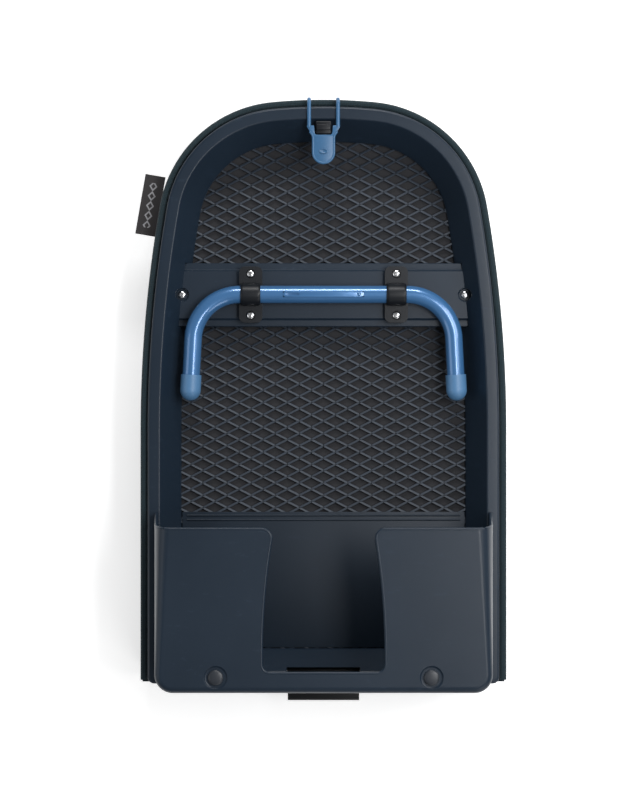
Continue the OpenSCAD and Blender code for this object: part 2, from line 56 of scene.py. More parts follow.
# Where each half lies: the fold end, the two ironing surfaces and the faces of the two rims
COVER_LOW, COVER_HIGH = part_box("front_cover")
FOLD_Y = COVER_LOW.y
HALF_LENGTH = COVER_HIGH.y - COVER_LOW.y
HALF_WIDTH = (COVER_HIGH.x - COVER_LOW.x) / 2
FRONT_TOP = COVER_LOW.z
REAR_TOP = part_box("rear_cover")[1].z
RIM_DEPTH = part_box("front_frame")[1].z - FRONT_TOP
LEG_LOW, LEG_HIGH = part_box("front_leg_tube")
TUBE_R = (LEG_HIGH.z - LEG_LOW.z) / 2
LEG_Y = LEG_HIGH.y - TUBE_R - FOLD_Y
LEG_DEPTH = LEG_LOW.z + TUBE_R - FRONT_TOP
PLATE_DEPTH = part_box("front_cross_plate")[1].z - FRONT_TOP
HALVES = ("rear", "front")


def metres(name, text, value):
    return bpy.props.FloatProperty(name=name, description=text, default=value, unit="LENGTH", precision=4)


def colour(name, text, *value):
    return bpy.props.FloatVectorProperty(
        name=name, description=text, default=value, size=3, subtype="COLOR", min=0, max=1)


class BoardSizes(bpy.types.PropertyGroup):
    nose_radius: metres("Nose radius", "Radius of the blunt nose", 0.499)
    shoulder_radius: metres("Shoulder radius", "Radius of the two shoulders", 0.114)
    side_radius: metres("Side radius", "Radius of the long sides", 1.190)
    taper: metres("Taper length", "Distance from the nose back to where the sides run straight", 0.299)
    band: metres("Cover band", "How far the padded cover stands outside the shell", 0.007)
    rim: metres("Rim width", "Width of the flat face of the rim", 0.012)
    rim_edge: metres("Rim edge", "Radius along the outer edge of the rim", 0.0026)
    rim_lip: metres("Rim lip", "Radius along the inner edge of the rim", 0.0019)
    wall_run: metres("Wall run", "How far the sloped inner wall leans in", 0.017)
    wall_foot: metres("Wall foot", "Depth at which the sloped wall starts", 0.009)
    corner: metres("Corner radius", "Radius of the shell's corners at the fold end", 0.006)
    shell_end: metres("Shell end", "Distance from the fold end to the shell", 0.001)
    fold_edge: metres("Fold edge", "Radius of the cover round the fold edge", 0.010)
    hem_lift: metres("Hem lift", "Distance from the hem to the face of the rim", 0.005)
    felt: metres("Felt", "Depth of the felt's inner face", 0.005)


class LatticeSizes(bpy.types.PropertyGroup):
    long_way: metres("Long way", "Width of one diamond", 0.0220)
    short_way: metres("Short way", "Height of one diamond", 0.0113)
    strand: metres("Strand width", "Width of one strand", 0.0021)
    thickness: metres("Strand thickness", "Thickness of one strand", 0.0011)
    inset: metres("Lattice inset", "Distance from the board's edge to the lattice", 0.0235)


class FittingSizes(bpy.types.PropertyGroup):
    plate_half: metres("Plate half length", "Half the length of the cross plate", 0.1360)
    plate_width: metres("Plate width", "Width of the cross plate over its flanges", 0.0576)
    plate_screw: metres("Plate screw place", "Distance from the middle to an end screw", 0.1285)
    dish: metres("Dish radius", "Radius of the dish round an end screw", 0.0058)
    saddle_x: metres("Saddle place", "Distance from the middle to a saddle", 0.0660)
    saddle_width: metres("Saddle width", "Width of a saddle's foot", 0.0210)
    saddle_length: metres("Saddle length", "Length of a saddle across the tube", 0.0510)
    saddle_screw: metres("Saddle screw place", "Distance from the tube's axis to a saddle screw", 0.0188)
    band_width: metres("Band width", "Width of the band over the tube", 0.0180)
    band: metres("Band thickness", "Thickness of the band over the tube", 0.0022)
    foot: metres("Foot thickness", "Thickness of a saddle's foot", 0.0060)
    head: metres("Screw head", "Radius of a screw's head", 0.0035)
    head_height: metres("Head height", "Height of a screw's head", 0.0024)


class PocketSizes(bpy.types.PropertyGroup):
    half_width: metres("Pocket half width", "Half the width of the pocket at the rim", 0.1515)
    lean: metres("Pocket lean", "How far each side leans in towards the front", 0.004)
    mouth: metres("Mouth", "Distance from the fold end to the mouth at the rim", 0.154)
    drop: metres("Mouth drop", "How much lower the mouth is at the front", 0.010)
    wall: metres("Pocket wall", "Wall of the pocket", 0.003)
    corner: metres("Pocket corner", "Radius of the upright corners", 0.016)
    edge: metres("Pocket edge", "Radius of the front edges at the mouth", 0.016)
    foot: metres("Pocket foot", "Radius of the front edges at the foot", 0.006)
    cut_top: metres("Cut-out top", "Half the width of the cut-out at its top", 0.046)
    cut_bottom: metres("Cut-out bottom", "Half the width of the cut-out at its bottom", 0.0545)
    sill: metres("Sill", "Distance from the fold end to the bottom of the cut-out", 0.0185)
    cut_corner: metres("Cut-out corner", "Radius of the cut-out's corners", 0.008)
    bead: metres("Bead", "How far the bead stands out of the wall", 0.0002)
    bumper_x: metres("Bumper place", "Distance from the middle to a bumper", 0.094)
    bumper_y: metres("Bumper height", "Distance from the fold end to a bumper", 0.015)
    bumper: metres("Bumper radius", "Radius of a bumper", 0.00675)


class LatchSizes(bpy.types.PropertyGroup):
    bar_x: metres("Bar place", "Distance from the middle to each bar of the loop", 0.0130)
    bar: metres("Bar radius", "Radius of each bar of the loop", 0.0018)
    eye: metres("Eye radius", "Radius of the eyes of the loop", 0.0034)
    tab_half: metres("Tab half width", "Half the width of the tab", 0.0100)
    tab_length: metres("Tab length", "Length of the tab below its window", 0.0260)
    window: metres("Window half width", "Half the width of the window", 0.0080)
    window_length: metres("Window length", "Length of the window", 0.0080)


class BoardColours(bpy.types.PropertyGroup):
    shell: colour("Shell", "Moulded frame, plate and pocket", 0.0098, 0.0184, 0.0312)
    lattice: colour("Lattice", "Painted expanded metal", 0.017, 0.025, 0.038)
    felt: colour("Felt", "Felt pad seen through the lattice", 0.0128, 0.0142, 0.0178)
    cloth: colour("Cloth", "Woven cover", 0.0014, 0.0088, 0.0128)
    fitting: colour("Fittings", "Saddles, keeper and bracket", 0.0058, 0.0075, 0.0105)
    hinge: colour("Hinge", "Hinge link", 0.005, 0.0055, 0.0065)
    tube: colour("Tube", "Gloss paint of the leg tubes", 0.046, 0.150, 0.335)
    cap: colour("Caps", "Rubber caps of the legs", 0.066, 0.165, 0.31)
    loop: colour("Loop", "Rubber latch loop", 0.034, 0.110, 0.225)
    steel: colour("Steel", "Screws and pins", 0.72, 0.73, 0.75)
    rubber: colour("Bumpers", "Rubber bumpers", 0.017, 0.021, 0.028)
    label: colour("Label", "Ground of the woven label", 0.022, 0.0195, 0.021)
    floor: colour("Floor", "Plain floor", 0.93, 0.93, 0.93)


def sizes(name):
    return getattr(bpy.context.scene, "ironing_" + name)


# ---------- materials ----------

class Num:
    """A number that varies over a surface, written in plain arithmetic."""

    def __init__(self, net, socket):
        self.net, self.socket = net, socket

    def math(self, operation, *values):
        node = self.net.add("ShaderNodeMath", {"operation": operation}, dict(enumerate(values)))
        return Num(self.net, node.outputs[0])

    def __add__(self, other): return self.math("ADD", self, other)
    def __radd__(self, other): return self.math("ADD", other, self)
    def __sub__(self, other): return self.math("SUBTRACT", self, other)
    def __rsub__(self, other): return self.math("SUBTRACT", other, self)
    def __mul__(self, other): return self.math("MULTIPLY", self, other)
    def __rmul__(self, other): return self.math("MULTIPLY", other, self)
    def __gt__(self, other): return self.math("GREATER_THAN", self, other)
    def __lt__(self, other): return self.math("LESS_THAN", self, other)
    def sin(self): return self.math("SINE", self)
    def size(self): return self.math("ABSOLUTE", self)
    def wrap(self, high): return self.math("PINGPONG", self, high)


class Finish:
    """One procedural material: nodes are added by type, settings and socket values."""

    def __init__(self, name, base, roughness, constants=()):
        self.material = bpy.data.materials.new(name)
        self.material.use_nodes = True
        self.material.diffuse_color = (*base, 1)
        self.tree = self.material.node_tree
        self.tree.nodes.clear()
        self.shader = self.add("ShaderNodeBsdfPrincipled", {}, {
            "Base Color": base, "Roughness": roughness, **dict(constants)})
        self.add("ShaderNodeOutputMaterial", {}, {"Surface": self.shader.outputs[0]})

    def add(self, kind, settings=(), sockets=()):
        """A node of any type. Its settings are set first, then its sockets are linked or given values."""
        node = self.tree.nodes.new(kind)
        for name, value in dict(settings).items():
            setattr(node, name, value)
        for name, value in dict(sockets).items():
            self.put(node.inputs[name], value)
        return node

    def put(self, socket, value):
        """Links a socket or sets its value. Every colour is opaque."""
        if isinstance(value, Num):
            value = value.socket
        if isinstance(value, bpy.types.NodeSocket):
            self.tree.links.new(value, socket)
        else:
            socket.default_value = (*value[:3], 1) if socket.type == "RGBA" else value

    def spot(self):
        """Where a point lies on its object, in metres."""
        return self.add("ShaderNodeTexCoord").outputs["Object"]

    def uv(self):
        """Two numbers in metres across and along a piece of cloth."""
        split = self.add("ShaderNodeSeparateXYZ", {}, {0: self.add("ShaderNodeTexCoord").outputs["UV"]})
        return Num(self, split.outputs[0]), Num(self, split.outputs[1])

    def noise(self, scale, detail=2, roughness=0.5, stretch=None):
        """Soft noise from 0 to 1. stretch sets how fast it changes along each axis."""
        spot = self.spot()
        if stretch:
            spot = self.add("ShaderNodeVectorMath", {"operation": "MULTIPLY"}, {
                0: spot, 1: stretch}).outputs[0]
        node = self.add("ShaderNodeTexNoise", {"noise_dimensions": "3D"}, {
            "Vector": spot, "Scale": scale, "Detail": detail, "Roughness": roughness})
        return Num(self, node.outputs[0])

    def speckle(self, scale):
        """Distance to the nearest of many scattered points."""
        node = self.add("ShaderNodeTexVoronoi", {"feature": "F1"}, {"Vector": self.spot(), "Scale": scale})
        return Num(self, node.outputs[0])

    def blend(self, share, low, high):
        """A colour between two, by a number from 0 to 1."""
        return self.add("ShaderNodeMix", {"data_type": "RGBA"}, {0: share, 6: low, 7: high}).outputs[2]

    def paint(self, value):
        self.put(self.shader.inputs["Base Color"], value)

    def rough(self, value):
        self.put(self.shader.inputs["Roughness"], value)

    def bump(self, height, distance, strength=1.0):
        node = self.add("ShaderNodeBump", {}, {
            "Height": height, "Distance": distance, "Strength": strength})
        self.put(self.shader.inputs["Normal"], node.outputs[0])


def shade(base, factor):
    return tuple(min(1.0, c * factor) for c in base)


def moulded(name, base, roughness, grain=0.00004):
    """Moulded plastic: fine spark-eroded grain, faint flow marks and handling scuffs."""
    f = Finish(name, base, roughness, {"Specular IOR Level": 0.28})
    flow = f.noise(9, 3)
    scuff = f.noise(60, 4, 0.7, (1, 3, 1)) > 0.64
    f.paint(f.blend(scuff * 0.25, f.blend(flow, shade(base, 0.82), shade(base, 1.2)), shade(base, 1.8)))
    f.rough(roughness - 0.08 + flow * 0.12 + scuff * 0.06)
    f.bump(f.noise(1900, 2), grain)
    return f.material


def painted_lattice(base):
    f = Finish("lattice_paint", base, 0.5)
    patch = f.noise(35, 3)
    chips = f.noise(420, 3, 0.7) > 0.70
    f.paint(f.blend(chips * 0.35, f.blend(patch, shade(base, 0.7), shade(base, 1.45)), shade(base, 2.3)))
    f.rough(0.42 + patch * 0.2)
    f.bump(f.noise(900, 2), 0.00006)
    return f.material


def felt_cloth(base):
    """Needled felt: short crossing fibres and a mottled brown-grey colour."""
    f = Finish("felt_fibres", base, 0.95, {"Sheen Weight": 0.06, "Sheen Roughness": 0.6})
    fibres = f.noise(900, 4, 0.7, (1, 0.25, 1)) * 0.5 + f.noise(900, 4, 0.7, (0.25, 1, 1)) * 0.5
    mottle = f.noise(70, 4, 0.65)
    warm = (base[0] * 1.5, base[1] * 1.25, base[2] * 1.1)
    f.paint(f.blend(fibres * 0.5, f.blend(mottle, shade(base, 0.72), warm), shade(base, 1.7)))
    f.bump(fibres + mottle * 0.4, 0.00035)
    return f.material


def woven_cloth(base):
    """Plain weave: warp and weft threads that cross over and under, with a slub here and there."""
    f = Finish("cover_weave", base, 0.85, {"Sheen Weight": 0.06, "Sheen Roughness": 0.5})
    u, v = f.uv()
    thread = 0.0016
    across, along = (u * (math.pi / thread)).sin(), (v * (math.pi / thread)).sin()
    over = across * along > 0
    height = over * across.size() + (1 - over) * along.size()
    slub = f.noise(260, 3, 0.6, (1, 1, 5))
    worn = f.noise(14, 3)
    # the thread crowns are painted lighter and the hollows between threads darker: a painted highlight and
    # painted shade; the worn noise varies the darker tone at random
    f.paint(f.blend(height * height, f.blend(worn, shade(base, 0.4), shade(base, 0.9)), shade(base, 2.8)))
    f.rough(0.78 + slub * 0.15)
    f.bump(height + slub * 0.8, 0.00028)
    return f.material


def gloss_paint(base):
    """Powder-coated tube: a deep blue with a clear gloss and a fine orange peel."""
    f = Finish("tube_paint", base, 0.24, {"Coat Weight": 0.7, "Coat Roughness": 0.08, "Metallic": 0.25})
    depth = f.noise(22, 2)
    fleck = f.speckle(1500) < 0.16
    f.paint(f.blend(fleck * 0.3, f.blend(depth, shade(base, 0.88), shade(base, 1.14)), shade(base, 1.7)))
    f.rough(0.22 + depth * 0.08)
    f.bump(f.noise(420, 1), 0.00003)
    return f.material


def soft_rubber(name, base, roughness):
    f = Finish(name, base, roughness, {"Specular IOR Level": 0.45})
    dust = f.noise(40, 4, 0.6)
    bloom = f.noise(380, 3, 0.6) > 0.6
    f.paint(f.blend(bloom * 0.16, f.blend(dust, shade(base, 0.86), shade(base, 1.16)), shade(base, 1.45)))
    f.rough(roughness - 0.06 + dust * 0.14)
    f.bump(f.noise(1300, 2), 0.00004)
    return f.material


def plated_steel(name, base, roughness):
    f = Finish(name, base, roughness, {"Metallic": 1.0})
    smear = f.noise(300, 3, 0.6)
    pits = f.noise(1500, 2) > 0.68
    f.paint(f.blend(pits * 0.4, f.blend(smear, shade(base, 0.8), base), shade(base, 0.45)))
    f.rough(roughness + smear * 0.14)
    f.bump(f.noise(2200, 2), 0.00002)
    return f.material


def woven_label(base):
    """A taffeta label: a dark ground with a plain row of lighter woven lozenges."""
    f = Finish("label_weave", base, 0.8, {"Sheen Weight": 0.08})
    u, v = f.uv()
    thread, row, half_pitch, large, small = 0.00045, 0.0095, 0.0045, 0.0046, 0.0026
    middle, half_run = 0.0275, 0.0205
    rib = (v * (math.pi / thread)).sin().size()
    weft = (u * (math.pi / thread)).sin().size()
    lozenge = (u - row).size() * 1.25 + v.wrap(half_pitch) < large
    field = ((v - middle).size() < half_run) * ((u - row).size() < large)
    inner = (u - row).size() * 1.25 + v.wrap(half_pitch) < small
    mark = lozenge * field * (1 - inner)
    # the ribs are painted lighter on their crowns and darker between them: a painted highlight and painted
    # shade; the lozenges are the label's own lighter thread
    f.paint(f.blend(mark * 0.8, f.blend(rib, shade(base, 0.6), shade(base, 1.35)), (0.33, 0.33, 0.35)))
    f.rough(0.68 + weft * 0.18)
    f.bump(rib * 0.6 + weft * 0.4 + mark * 0.5, 0.00012)
    return f.material


def plain_floor(base):
    f = Finish("studio_floor", base, 0.9, {"Emission Color": (1, 1, 1), "Emission Strength": 0.5})
    cloud = f.noise(3, 2)
    f.paint(f.blend(cloud, shade(base, 0.985), base))
    f.bump(f.noise(240, 2), 0.0001, 0.2)
    return f.material


MADE = {}


def finish(name):
    """The material of that name, made once."""
    if name not in MADE:
        c = sizes("colours")
        make = {
            "shell": lambda: moulded("shell_plastic", c.shell, 0.37),
            "pocket": lambda: moulded("pocket_plastic", c.shell, 0.38, 0.00005),
            "plate": lambda: moulded("plate_paint", c.shell, 0.40),
            "shield": lambda: moulded("shield_paint", shade(c.shell, 0.85), 0.5),
            "fitting": lambda: moulded("fitting_plastic", c.fitting, 0.42),
            "hinge": lambda: moulded("hinge_plastic", c.hinge, 0.4),
            "lattice": lambda: painted_lattice(c.lattice),
            "felt": lambda: felt_cloth(c.felt),
            "cloth": lambda: woven_cloth(c.cloth),
            "tube": lambda: gloss_paint(c.tube),
            "cap": lambda: soft_rubber("cap_rubber", c.cap, 0.42),
            "loop": lambda: soft_rubber("loop_rubber", c.loop, 0.36),
            "bumper": lambda: soft_rubber("bumper_rubber", c.rubber, 0.38),
            "screw": lambda: plated_steel("screw_chrome", c.steel, 0.14),
            "pin": lambda: plated_steel("pin_steel", shade(c.steel, 0.8), 0.3),
            "label": lambda: woven_label(c.label),
            "floor": lambda: plain_floor(c.floor),
        }
        MADE[name] = make[name]()
    return MADE[name]


# ---------- shapes ----------

def arc(centre, radius, a0, a1, count, first=0):
    angles = np.radians(a0 + (a1 - a0) * np.arange(first, count + 1) / count)
    return np.column_stack([centre[0] + radius * np.cos(angles), centre[1] + radius * np.sin(angles)])


def whole_turn(count):
    return np.arange(count) * 2 * math.pi / count


def arch(inset, end=0.0, counts=(14, 34, 10), steps=8):
    """The plan's open outline, inset by a distance: up the right side, round the nose and down the left.

    counts are the steps round a side, a shoulder and half the nose, and steps those up a straight side."""
    b = sizes("board")
    nose_c = np.array([0, HALF_LENGTH - b.nose_radius])
    side_c = np.array([HALF_WIDTH - b.side_radius, HALF_LENGTH - b.taper])
    reach_n, reach_s = b.nose_radius - b.shoulder_radius, b.side_radius - b.shoulder_radius
    to_side = side_c - nose_c
    gap = np.linalg.norm(to_side)
    along = (reach_n ** 2 - reach_s ** 2 + gap ** 2) / (2 * gap)
    across = math.sqrt(reach_n ** 2 - along ** 2)
    unit = to_side / gap
    shoulder_c = nose_c + unit * along + np.array([unit[1], -unit[0]]) * across
    nose_a = math.degrees(math.atan2(*(shoulder_c - nose_c)[::-1]))
    side_a = math.degrees(math.atan2(*(shoulder_c - side_c)[::-1]))
    straight = [[HALF_WIDTH - inset, end + (side_c[1] - end) * k / steps] for k in range(steps)]
    right = np.vstack([
        straight,
        arc(side_c, b.side_radius - inset, 0, side_a, counts[0]),
        arc(shoulder_c, b.shoulder_radius - inset, side_a, nose_a, counts[1], 1),
        arc(nose_c, b.nose_radius - inset, nose_a, 90, counts[2], 1)])
    return np.vstack([right, (right * [-1, 1])[-2::-1]])


def closed_plan(inset, end, corner, cut=7):
    """The whole plan as a closed loop, with rounded corners at the fold end."""
    right = arc([HALF_WIDTH - inset - corner, end + corner], corner, -90, 0, cut)
    side = arch(inset, end + corner)
    left = (right * [-1, 1])[::-1]
    return np.vstack([right, side[1:-1], left])


def level(plan, depth):
    """A plan laid at one depth."""
    return np.column_stack([plan, np.full(len(plan), depth)])


def place(points, half):
    """Sets down points given as across, distance from the fold end and depth below the ironing surface.

    With no half the points are where they should be."""
    p = np.asarray(points, float).reshape(-1, 3)
    if half is None:
        return p
    z = FRONT_TOP + p[:, 2] if half == "front" else REAR_TOP - p[:, 2]
    return np.column_stack([p[:, 0], p[:, 1] + FOLD_Y, z])


class Build:
    """Vertices, faces and cloth coordinates that are gathered for one piece."""

    def __init__(self):
        self.points, self.faces, self.uvs = [], [], []

    def extend(self, points, faces, uvs=None):
        base = len(self.points)
        self.points += [tuple(p) for p in points]
        self.faces += [tuple(base + i for i in f) for f in faces]
        self.uvs += [tuple(q) for q in uvs] if uvs is not None else [(p[0], p[1]) for p in points]
        return self

    def strips(self, loops, around=False, across=False, caps=False, uvs=None):
        """Faces between rows of points. around closes each row, across joins the last row to the first."""
        rows, n = len(loops), len(loops[0])
        flat = [tuple(p) for loop in loops for p in loop]
        faces = []
        for j in range(rows if across else rows - 1):
            for k in range(n if around else n - 1):
                a, b = j * n + k, j * n + (k + 1) % n
                c, d = (j + 1) % rows * n + (k + 1) % n, (j + 1) % rows * n + k
                faces.append((a, b, c, d))
        if caps:
            faces += [tuple(range(n)), tuple((rows - 1) * n + k for k in reversed(range(n)))]
        return self.extend(flat, faces, uvs)

    def filled(self, loop):
        """A flat face of any outline, in triangles."""
        points = [Vector(p) for p in loop]
        return self.extend(loop, [tuple(t) for t in geometry.tessellate_polygon([points])])

    def mesh(self, name, weld=True):
        mesh = bpy.data.meshes.new(name)
        mesh.from_pydata(self.points, [], self.faces)
        layer = mesh.uv_layers.new(name="cloth")
        for loop in mesh.loops:
            layer.data[loop.index].uv = self.uvs[loop.vertex_index]
        b = bmesh.new()
        b.from_mesh(mesh)
        if weld:
            bmesh.ops.remove_doubles(b, verts=b.verts, dist=1e-6)
        bmesh.ops.recalc_face_normals(b, faces=b.faces)
        b.to_mesh(mesh)
        b.free()
        return mesh

    def piece(self, name, body, slot, material, sharp=35, weld=True):
        return dressed(self.mesh(name, weld), name, body, material, sharp)


def smoothed(mesh, sharp):
    """Soft shading, with a crease wherever faces meet at more than an angle in degrees."""
    mesh.polygons.foreach_set("use_smooth", [True] * len(mesh.polygons))
    mesh.set_sharp_from_angle(angle=math.radians(sharp))
    mesh.update()


def dressed(mesh, name, body, material, sharp):
    """A piece of the visual model: in the scene, painted and riding on its body."""
    piece = bpy.data.objects.new(name, mesh)
    bpy.context.scene.collection.objects.link(piece)
    mesh.materials.clear()
    mesh.materials.append(finish(material))
    smoothed(mesh, sharp)
    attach(piece, body)
    return piece


def even(piece):
    """Lets the large faces of a piece set its shading, so that flat parts look flat up to their edges."""
    flat = piece.modifiers.new("even", "WEIGHTED_NORMAL")
    flat.keep_sharp, flat.weight = True, 90
    return piece


def settled(piece, sharp=35):
    """Applies the piece's modifiers to its mesh."""
    bpy.context.view_layer.update()
    made = bpy.data.meshes.new_from_object(piece.evaluated_get(bpy.context.evaluated_depsgraph_get()))
    piece.modifiers.clear()
    old, piece.data = piece.data, made
    bpy.data.meshes.remove(old)
    smoothed(made, sharp)
    return piece


def carve(piece, cutters, operation="DIFFERENCE", sharp=35):
    """Cuts closed shapes out of a piece, or joins them to it."""
    for k, cutter in enumerate(cutters):
        mesh = cutter.mesh(f"cutter_{k}")
        tool = bpy.data.objects.new(f"cutter_{k}", mesh)
        bpy.context.scene.collection.objects.link(tool)
        change = piece.modifiers.new("carve", "BOOLEAN")
        change.operation, change.solver, change.object = operation, "EXACT", tool
        settled(piece, sharp)
        bpy.data.objects.remove(tool)
        bpy.data.meshes.remove(mesh)
    return piece


def bevel(piece, width, segments=3, angle=35, sharp=35):
    """Rounds every edge sharper than an angle in degrees."""
    soft = piece.modifiers.new("soften", "BEVEL")
    soft.width, soft.segments, soft.limit_method = width, segments, "ANGLE"
    soft.angle_limit, soft.use_clamp_overlap = math.radians(angle), True
    return settled(piece, sharp)


def block(low, high, half=None):
    """A closed box between two corners, as something to cut with or to soften."""
    (x0, y0, z0), (x1, y1, z1) = low, high
    p = [(x, y, z) for z in (z0, z1) for x, y in ((x0, y0), (x1, y0), (x1, y1), (x0, y1))]
    return Build().extend(place(p, half), [
        (0, 3, 2, 1), (4, 5, 6, 7), (0, 1, 5, 4), (1, 2, 6, 5), (2, 3, 7, 6), (3, 0, 4, 7)])


def lathed(profile, centre, half=None, count=40, build=None):
    """A shape turned about the depth axis, from a profile of radius and depth."""
    x, y, depth = centre
    turns = whole_turn(count)
    loops = [place(level(np.column_stack([x + r * np.cos(turns), y + r * np.sin(turns)]), depth + d), half)
             for r, d in profile]
    return (build or Build()).strips(loops, around=True, caps=True)


def pushed(plan, d0, d1, half=None, build=None):
    """A flat outline given a thickness in depth."""
    loops = [place(level(plan, d), half) for d in (d0, d1)]
    return (build or Build()).strips(loops, around=True).filled(loops[0]).filled(loops[1])


def rounded_box_plan(cx, cy, w, h, r, n=6):
    """A rectangle about a middle, with round corners."""
    corners = [((w / 2 - r, h / 2 - r), 0), ((r - w / 2, h / 2 - r), 90),
               ((r - w / 2, r - h / 2), 180), ((w / 2 - r, r - h / 2), 270)]
    return np.vstack([arc([cx + c[0], cy + c[1]], r, a, a + 90, n) for c, a in corners])


def unit_rows(rows):
    return rows / np.linalg.norm(rows, axis=1)[:, None]


def swept(path, radius, count=14, build=None):
    """A round bar along a path of points."""
    path = np.asarray(path, float)
    ahead = np.roll(path, -1, 0) - path
    behind = path - np.roll(path, 1, 0)
    ahead[-1], behind[0] = behind[-1], ahead[0]
    tangent = unit_rows(unit_rows(ahead) + unit_rows(behind))
    side = np.cross(tangent[0], [0.0, 0.3, 1.0] if abs(tangent[0][2]) < 0.9 else [1.0, 0.2, 0.0])
    turns, loops = whole_turn(count), []
    for p, t in zip(path, tangent):
        side = side - t * (side @ t)
        side /= np.linalg.norm(side)
        ring = np.outer(np.cos(turns), side) + np.outer(np.sin(turns), np.cross(t, side))
        loops.append(p + radius * ring)
    return (build or Build()).strips(loops, around=True, caps=True)


class Piece:
    """What every step of the add-on shares."""
    bl_options = {"REGISTER", "UNDO"}


# ---------- the two halves ----------

class BOARD_OT_shells(Piece, bpy.types.Operator):
    """Moulded frame of each half: a flat rim with soft edges and a sloped wall down to the lattice"""
    bl_idname = "board.shells"
    bl_label = "Frame shells"

    def execute(self, context):
        b, f = sizes("board"), sizes("fittings")
        rim_in, foot = b.band + b.rim, b.band + b.rim + b.wall_run
        top, floor = RIM_DEPTH, b.felt + 0.002
        slope = math.degrees(math.atan2(top - b.wall_foot, b.wall_run))
        # inset and depth, round the shell from its outer side over the rim and down the sloped wall
        section = np.vstack([
            [[b.band, b.felt], [b.band, top * 0.5]],
            arc([b.band + b.rim_edge, top - b.rim_edge], b.rim_edge, 180, 90, 6),
            [[b.band + b.rim * 0.5, top]],
            arc([rim_in - b.rim_lip, top - b.rim_lip], b.rim_lip, 90, 90 - slope, 5),
            [[rim_in + b.wall_run * 0.5, (top + b.wall_foot) / 2 - 0.0008]],
            [[foot - 0.0012, b.wall_foot + 0.0012], [foot, b.wall_foot - 0.0006], [foot, floor],
             [b.band + 0.010, floor], [b.band + 0.010, b.felt]]])
        shift = b.band - b.shell_end
        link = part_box("hinge_link")[1]
        reach, bed, bed_w, boss = link.x + 0.0008, f.plate_half + 0.0004, f.plate_width / 2 + 0.0003, 0.0046
        for half in HALVES:
            rows = [place(level(closed_plan(i, i - shift, b.corner), d), half) for i, d in section]
            shell = Build().strips(rows, around=True, across=True).piece(
                f"{half}_shell", f"{half}_half", "frame_shell", "shell", 40)
            notch = block((-reach, -0.002, b.felt - 0.002),
                          (reach, link.y - FOLD_Y + 0.0012, top + 0.01), half)
            plate_bed = block((-bed, LEG_Y - bed_w, b.felt + 0.006),
                              (bed, LEG_Y + bed_w, PLATE_DEPTH + 0.0001), half)
            round_screws = [lathed([(f.dish, -0.0024), (f.dish, top)],
                                   (s * f.plate_screw, LEG_Y, PLATE_DEPTH), half, 48) for s in (-1, 1)]
            even(carve(shell, [notch, plate_bed, *round_screws, fold_cutter(b, half)], sharp=40))
            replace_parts(shell, f"{half}_frame")
        bosses = Build()
        for x, y in pocket_screw_places():
            lathed([(boss, b.wall_foot), (boss, top)], (x, y, 0), "front", 24, bosses)
        bosses.piece("pocket_bosses", "front_half", "frame_shell", "shell")
        return {"FINISHED"}


def fold_cutter(b, half):
    """What is taken off a shell's end so that it lies inside the cover's round fold edge."""
    r = b.fold_edge
    corner = [(-0.005, r), *arc([r, r], r - b.shell_end, 180, 270, 10), (r, 0.0), (-0.005, 0.0)]
    rows = [place([(x, *q) for q in corner], half) for x in (-0.2, 0.2)]
    return Build().strips(rows, around=True).filled(rows[0]).filled(rows[1])


class BOARD_OT_lattices(Piece, bpy.types.Operator):
    """Raised expanded metal behind each half: rows of diamonds in tilted flat strands"""
    bl_idname = "board.lattices"
    bl_label = "Expanded metal"

    def execute(self, context):
        b, m = sizes("board"), sizes("lattice")
        plan = arch(m.inset, m.inset - 0.006)
        inside = polygon_test(plan)
        dx, dy = m.long_way / 2, m.short_way / 2
        columns, rows = int(HALF_WIDTH / dx) + 1, int(HALF_LENGTH / dy) + 1
        low, high = b.felt + 0.0011, b.felt + 0.0025
        for half in HALVES:
            build = Build()
            for i in range(-columns, columns):
                for j in range(rows):
                    if (i + j) % 2:
                        continue
                    start = np.array([i * dx, j * dy])
                    for step in (1, -1):
                        end = np.array([(i + 1) * dx, (j + step) * dy])
                        if inside(start) and inside(end):
                            strand(build, start, end, m.strand, m.thickness, low, high, half)
            lattice = build.piece(
                f"{half}_lattice", f"{half}_half", "mesh_metal", "lattice", 50, weld=False)
            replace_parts(lattice, f"{half}_mesh")
        return {"FINISHED"}


def polygon_test(plan):
    """A test of whether a point lies inside a plan."""
    a, b = plan, np.roll(plan, -1, 0)

    def inside(p):
        crosses = (a[:, 1] > p[1]) != (b[:, 1] > p[1])
        with np.errstate(divide="ignore", invalid="ignore"):
            x = a[:, 0] + (p[1] - a[:, 1]) * (b[:, 0] - a[:, 0]) / (b[:, 1] - a[:, 1])
        return bool(np.sum(crosses & (p[0] < x)) % 2)

    return inside


def strand(build, start, end, width, thickness, low, high, half):
    """One strand from bond to bond: flat, chamfered and tipped a little towards the nose."""
    along = (end - start) / np.linalg.norm(end - start)
    side = np.array([-along[1], along[0]])
    if side[1] < 0:
        side = -side
    start, end = start - along * width * 0.35, end + along * width * 0.35
    rise = high - low - thickness * 0.6
    profile = [(-0.5, 0.0), (0.5, 0.0), (0.5, 0.6), (0.34, 1.0), (-0.34, 1.0), (-0.5, 0.6)]
    loops = []
    for p in (start, end):
        loop = [(*(p + side * width * s), low + thickness * t + rise * (0.5 - s) * 0.55)
                for s, t in profile]
        loops.append(place(loop, half))
    build.strips(loops, around=True, caps=True)


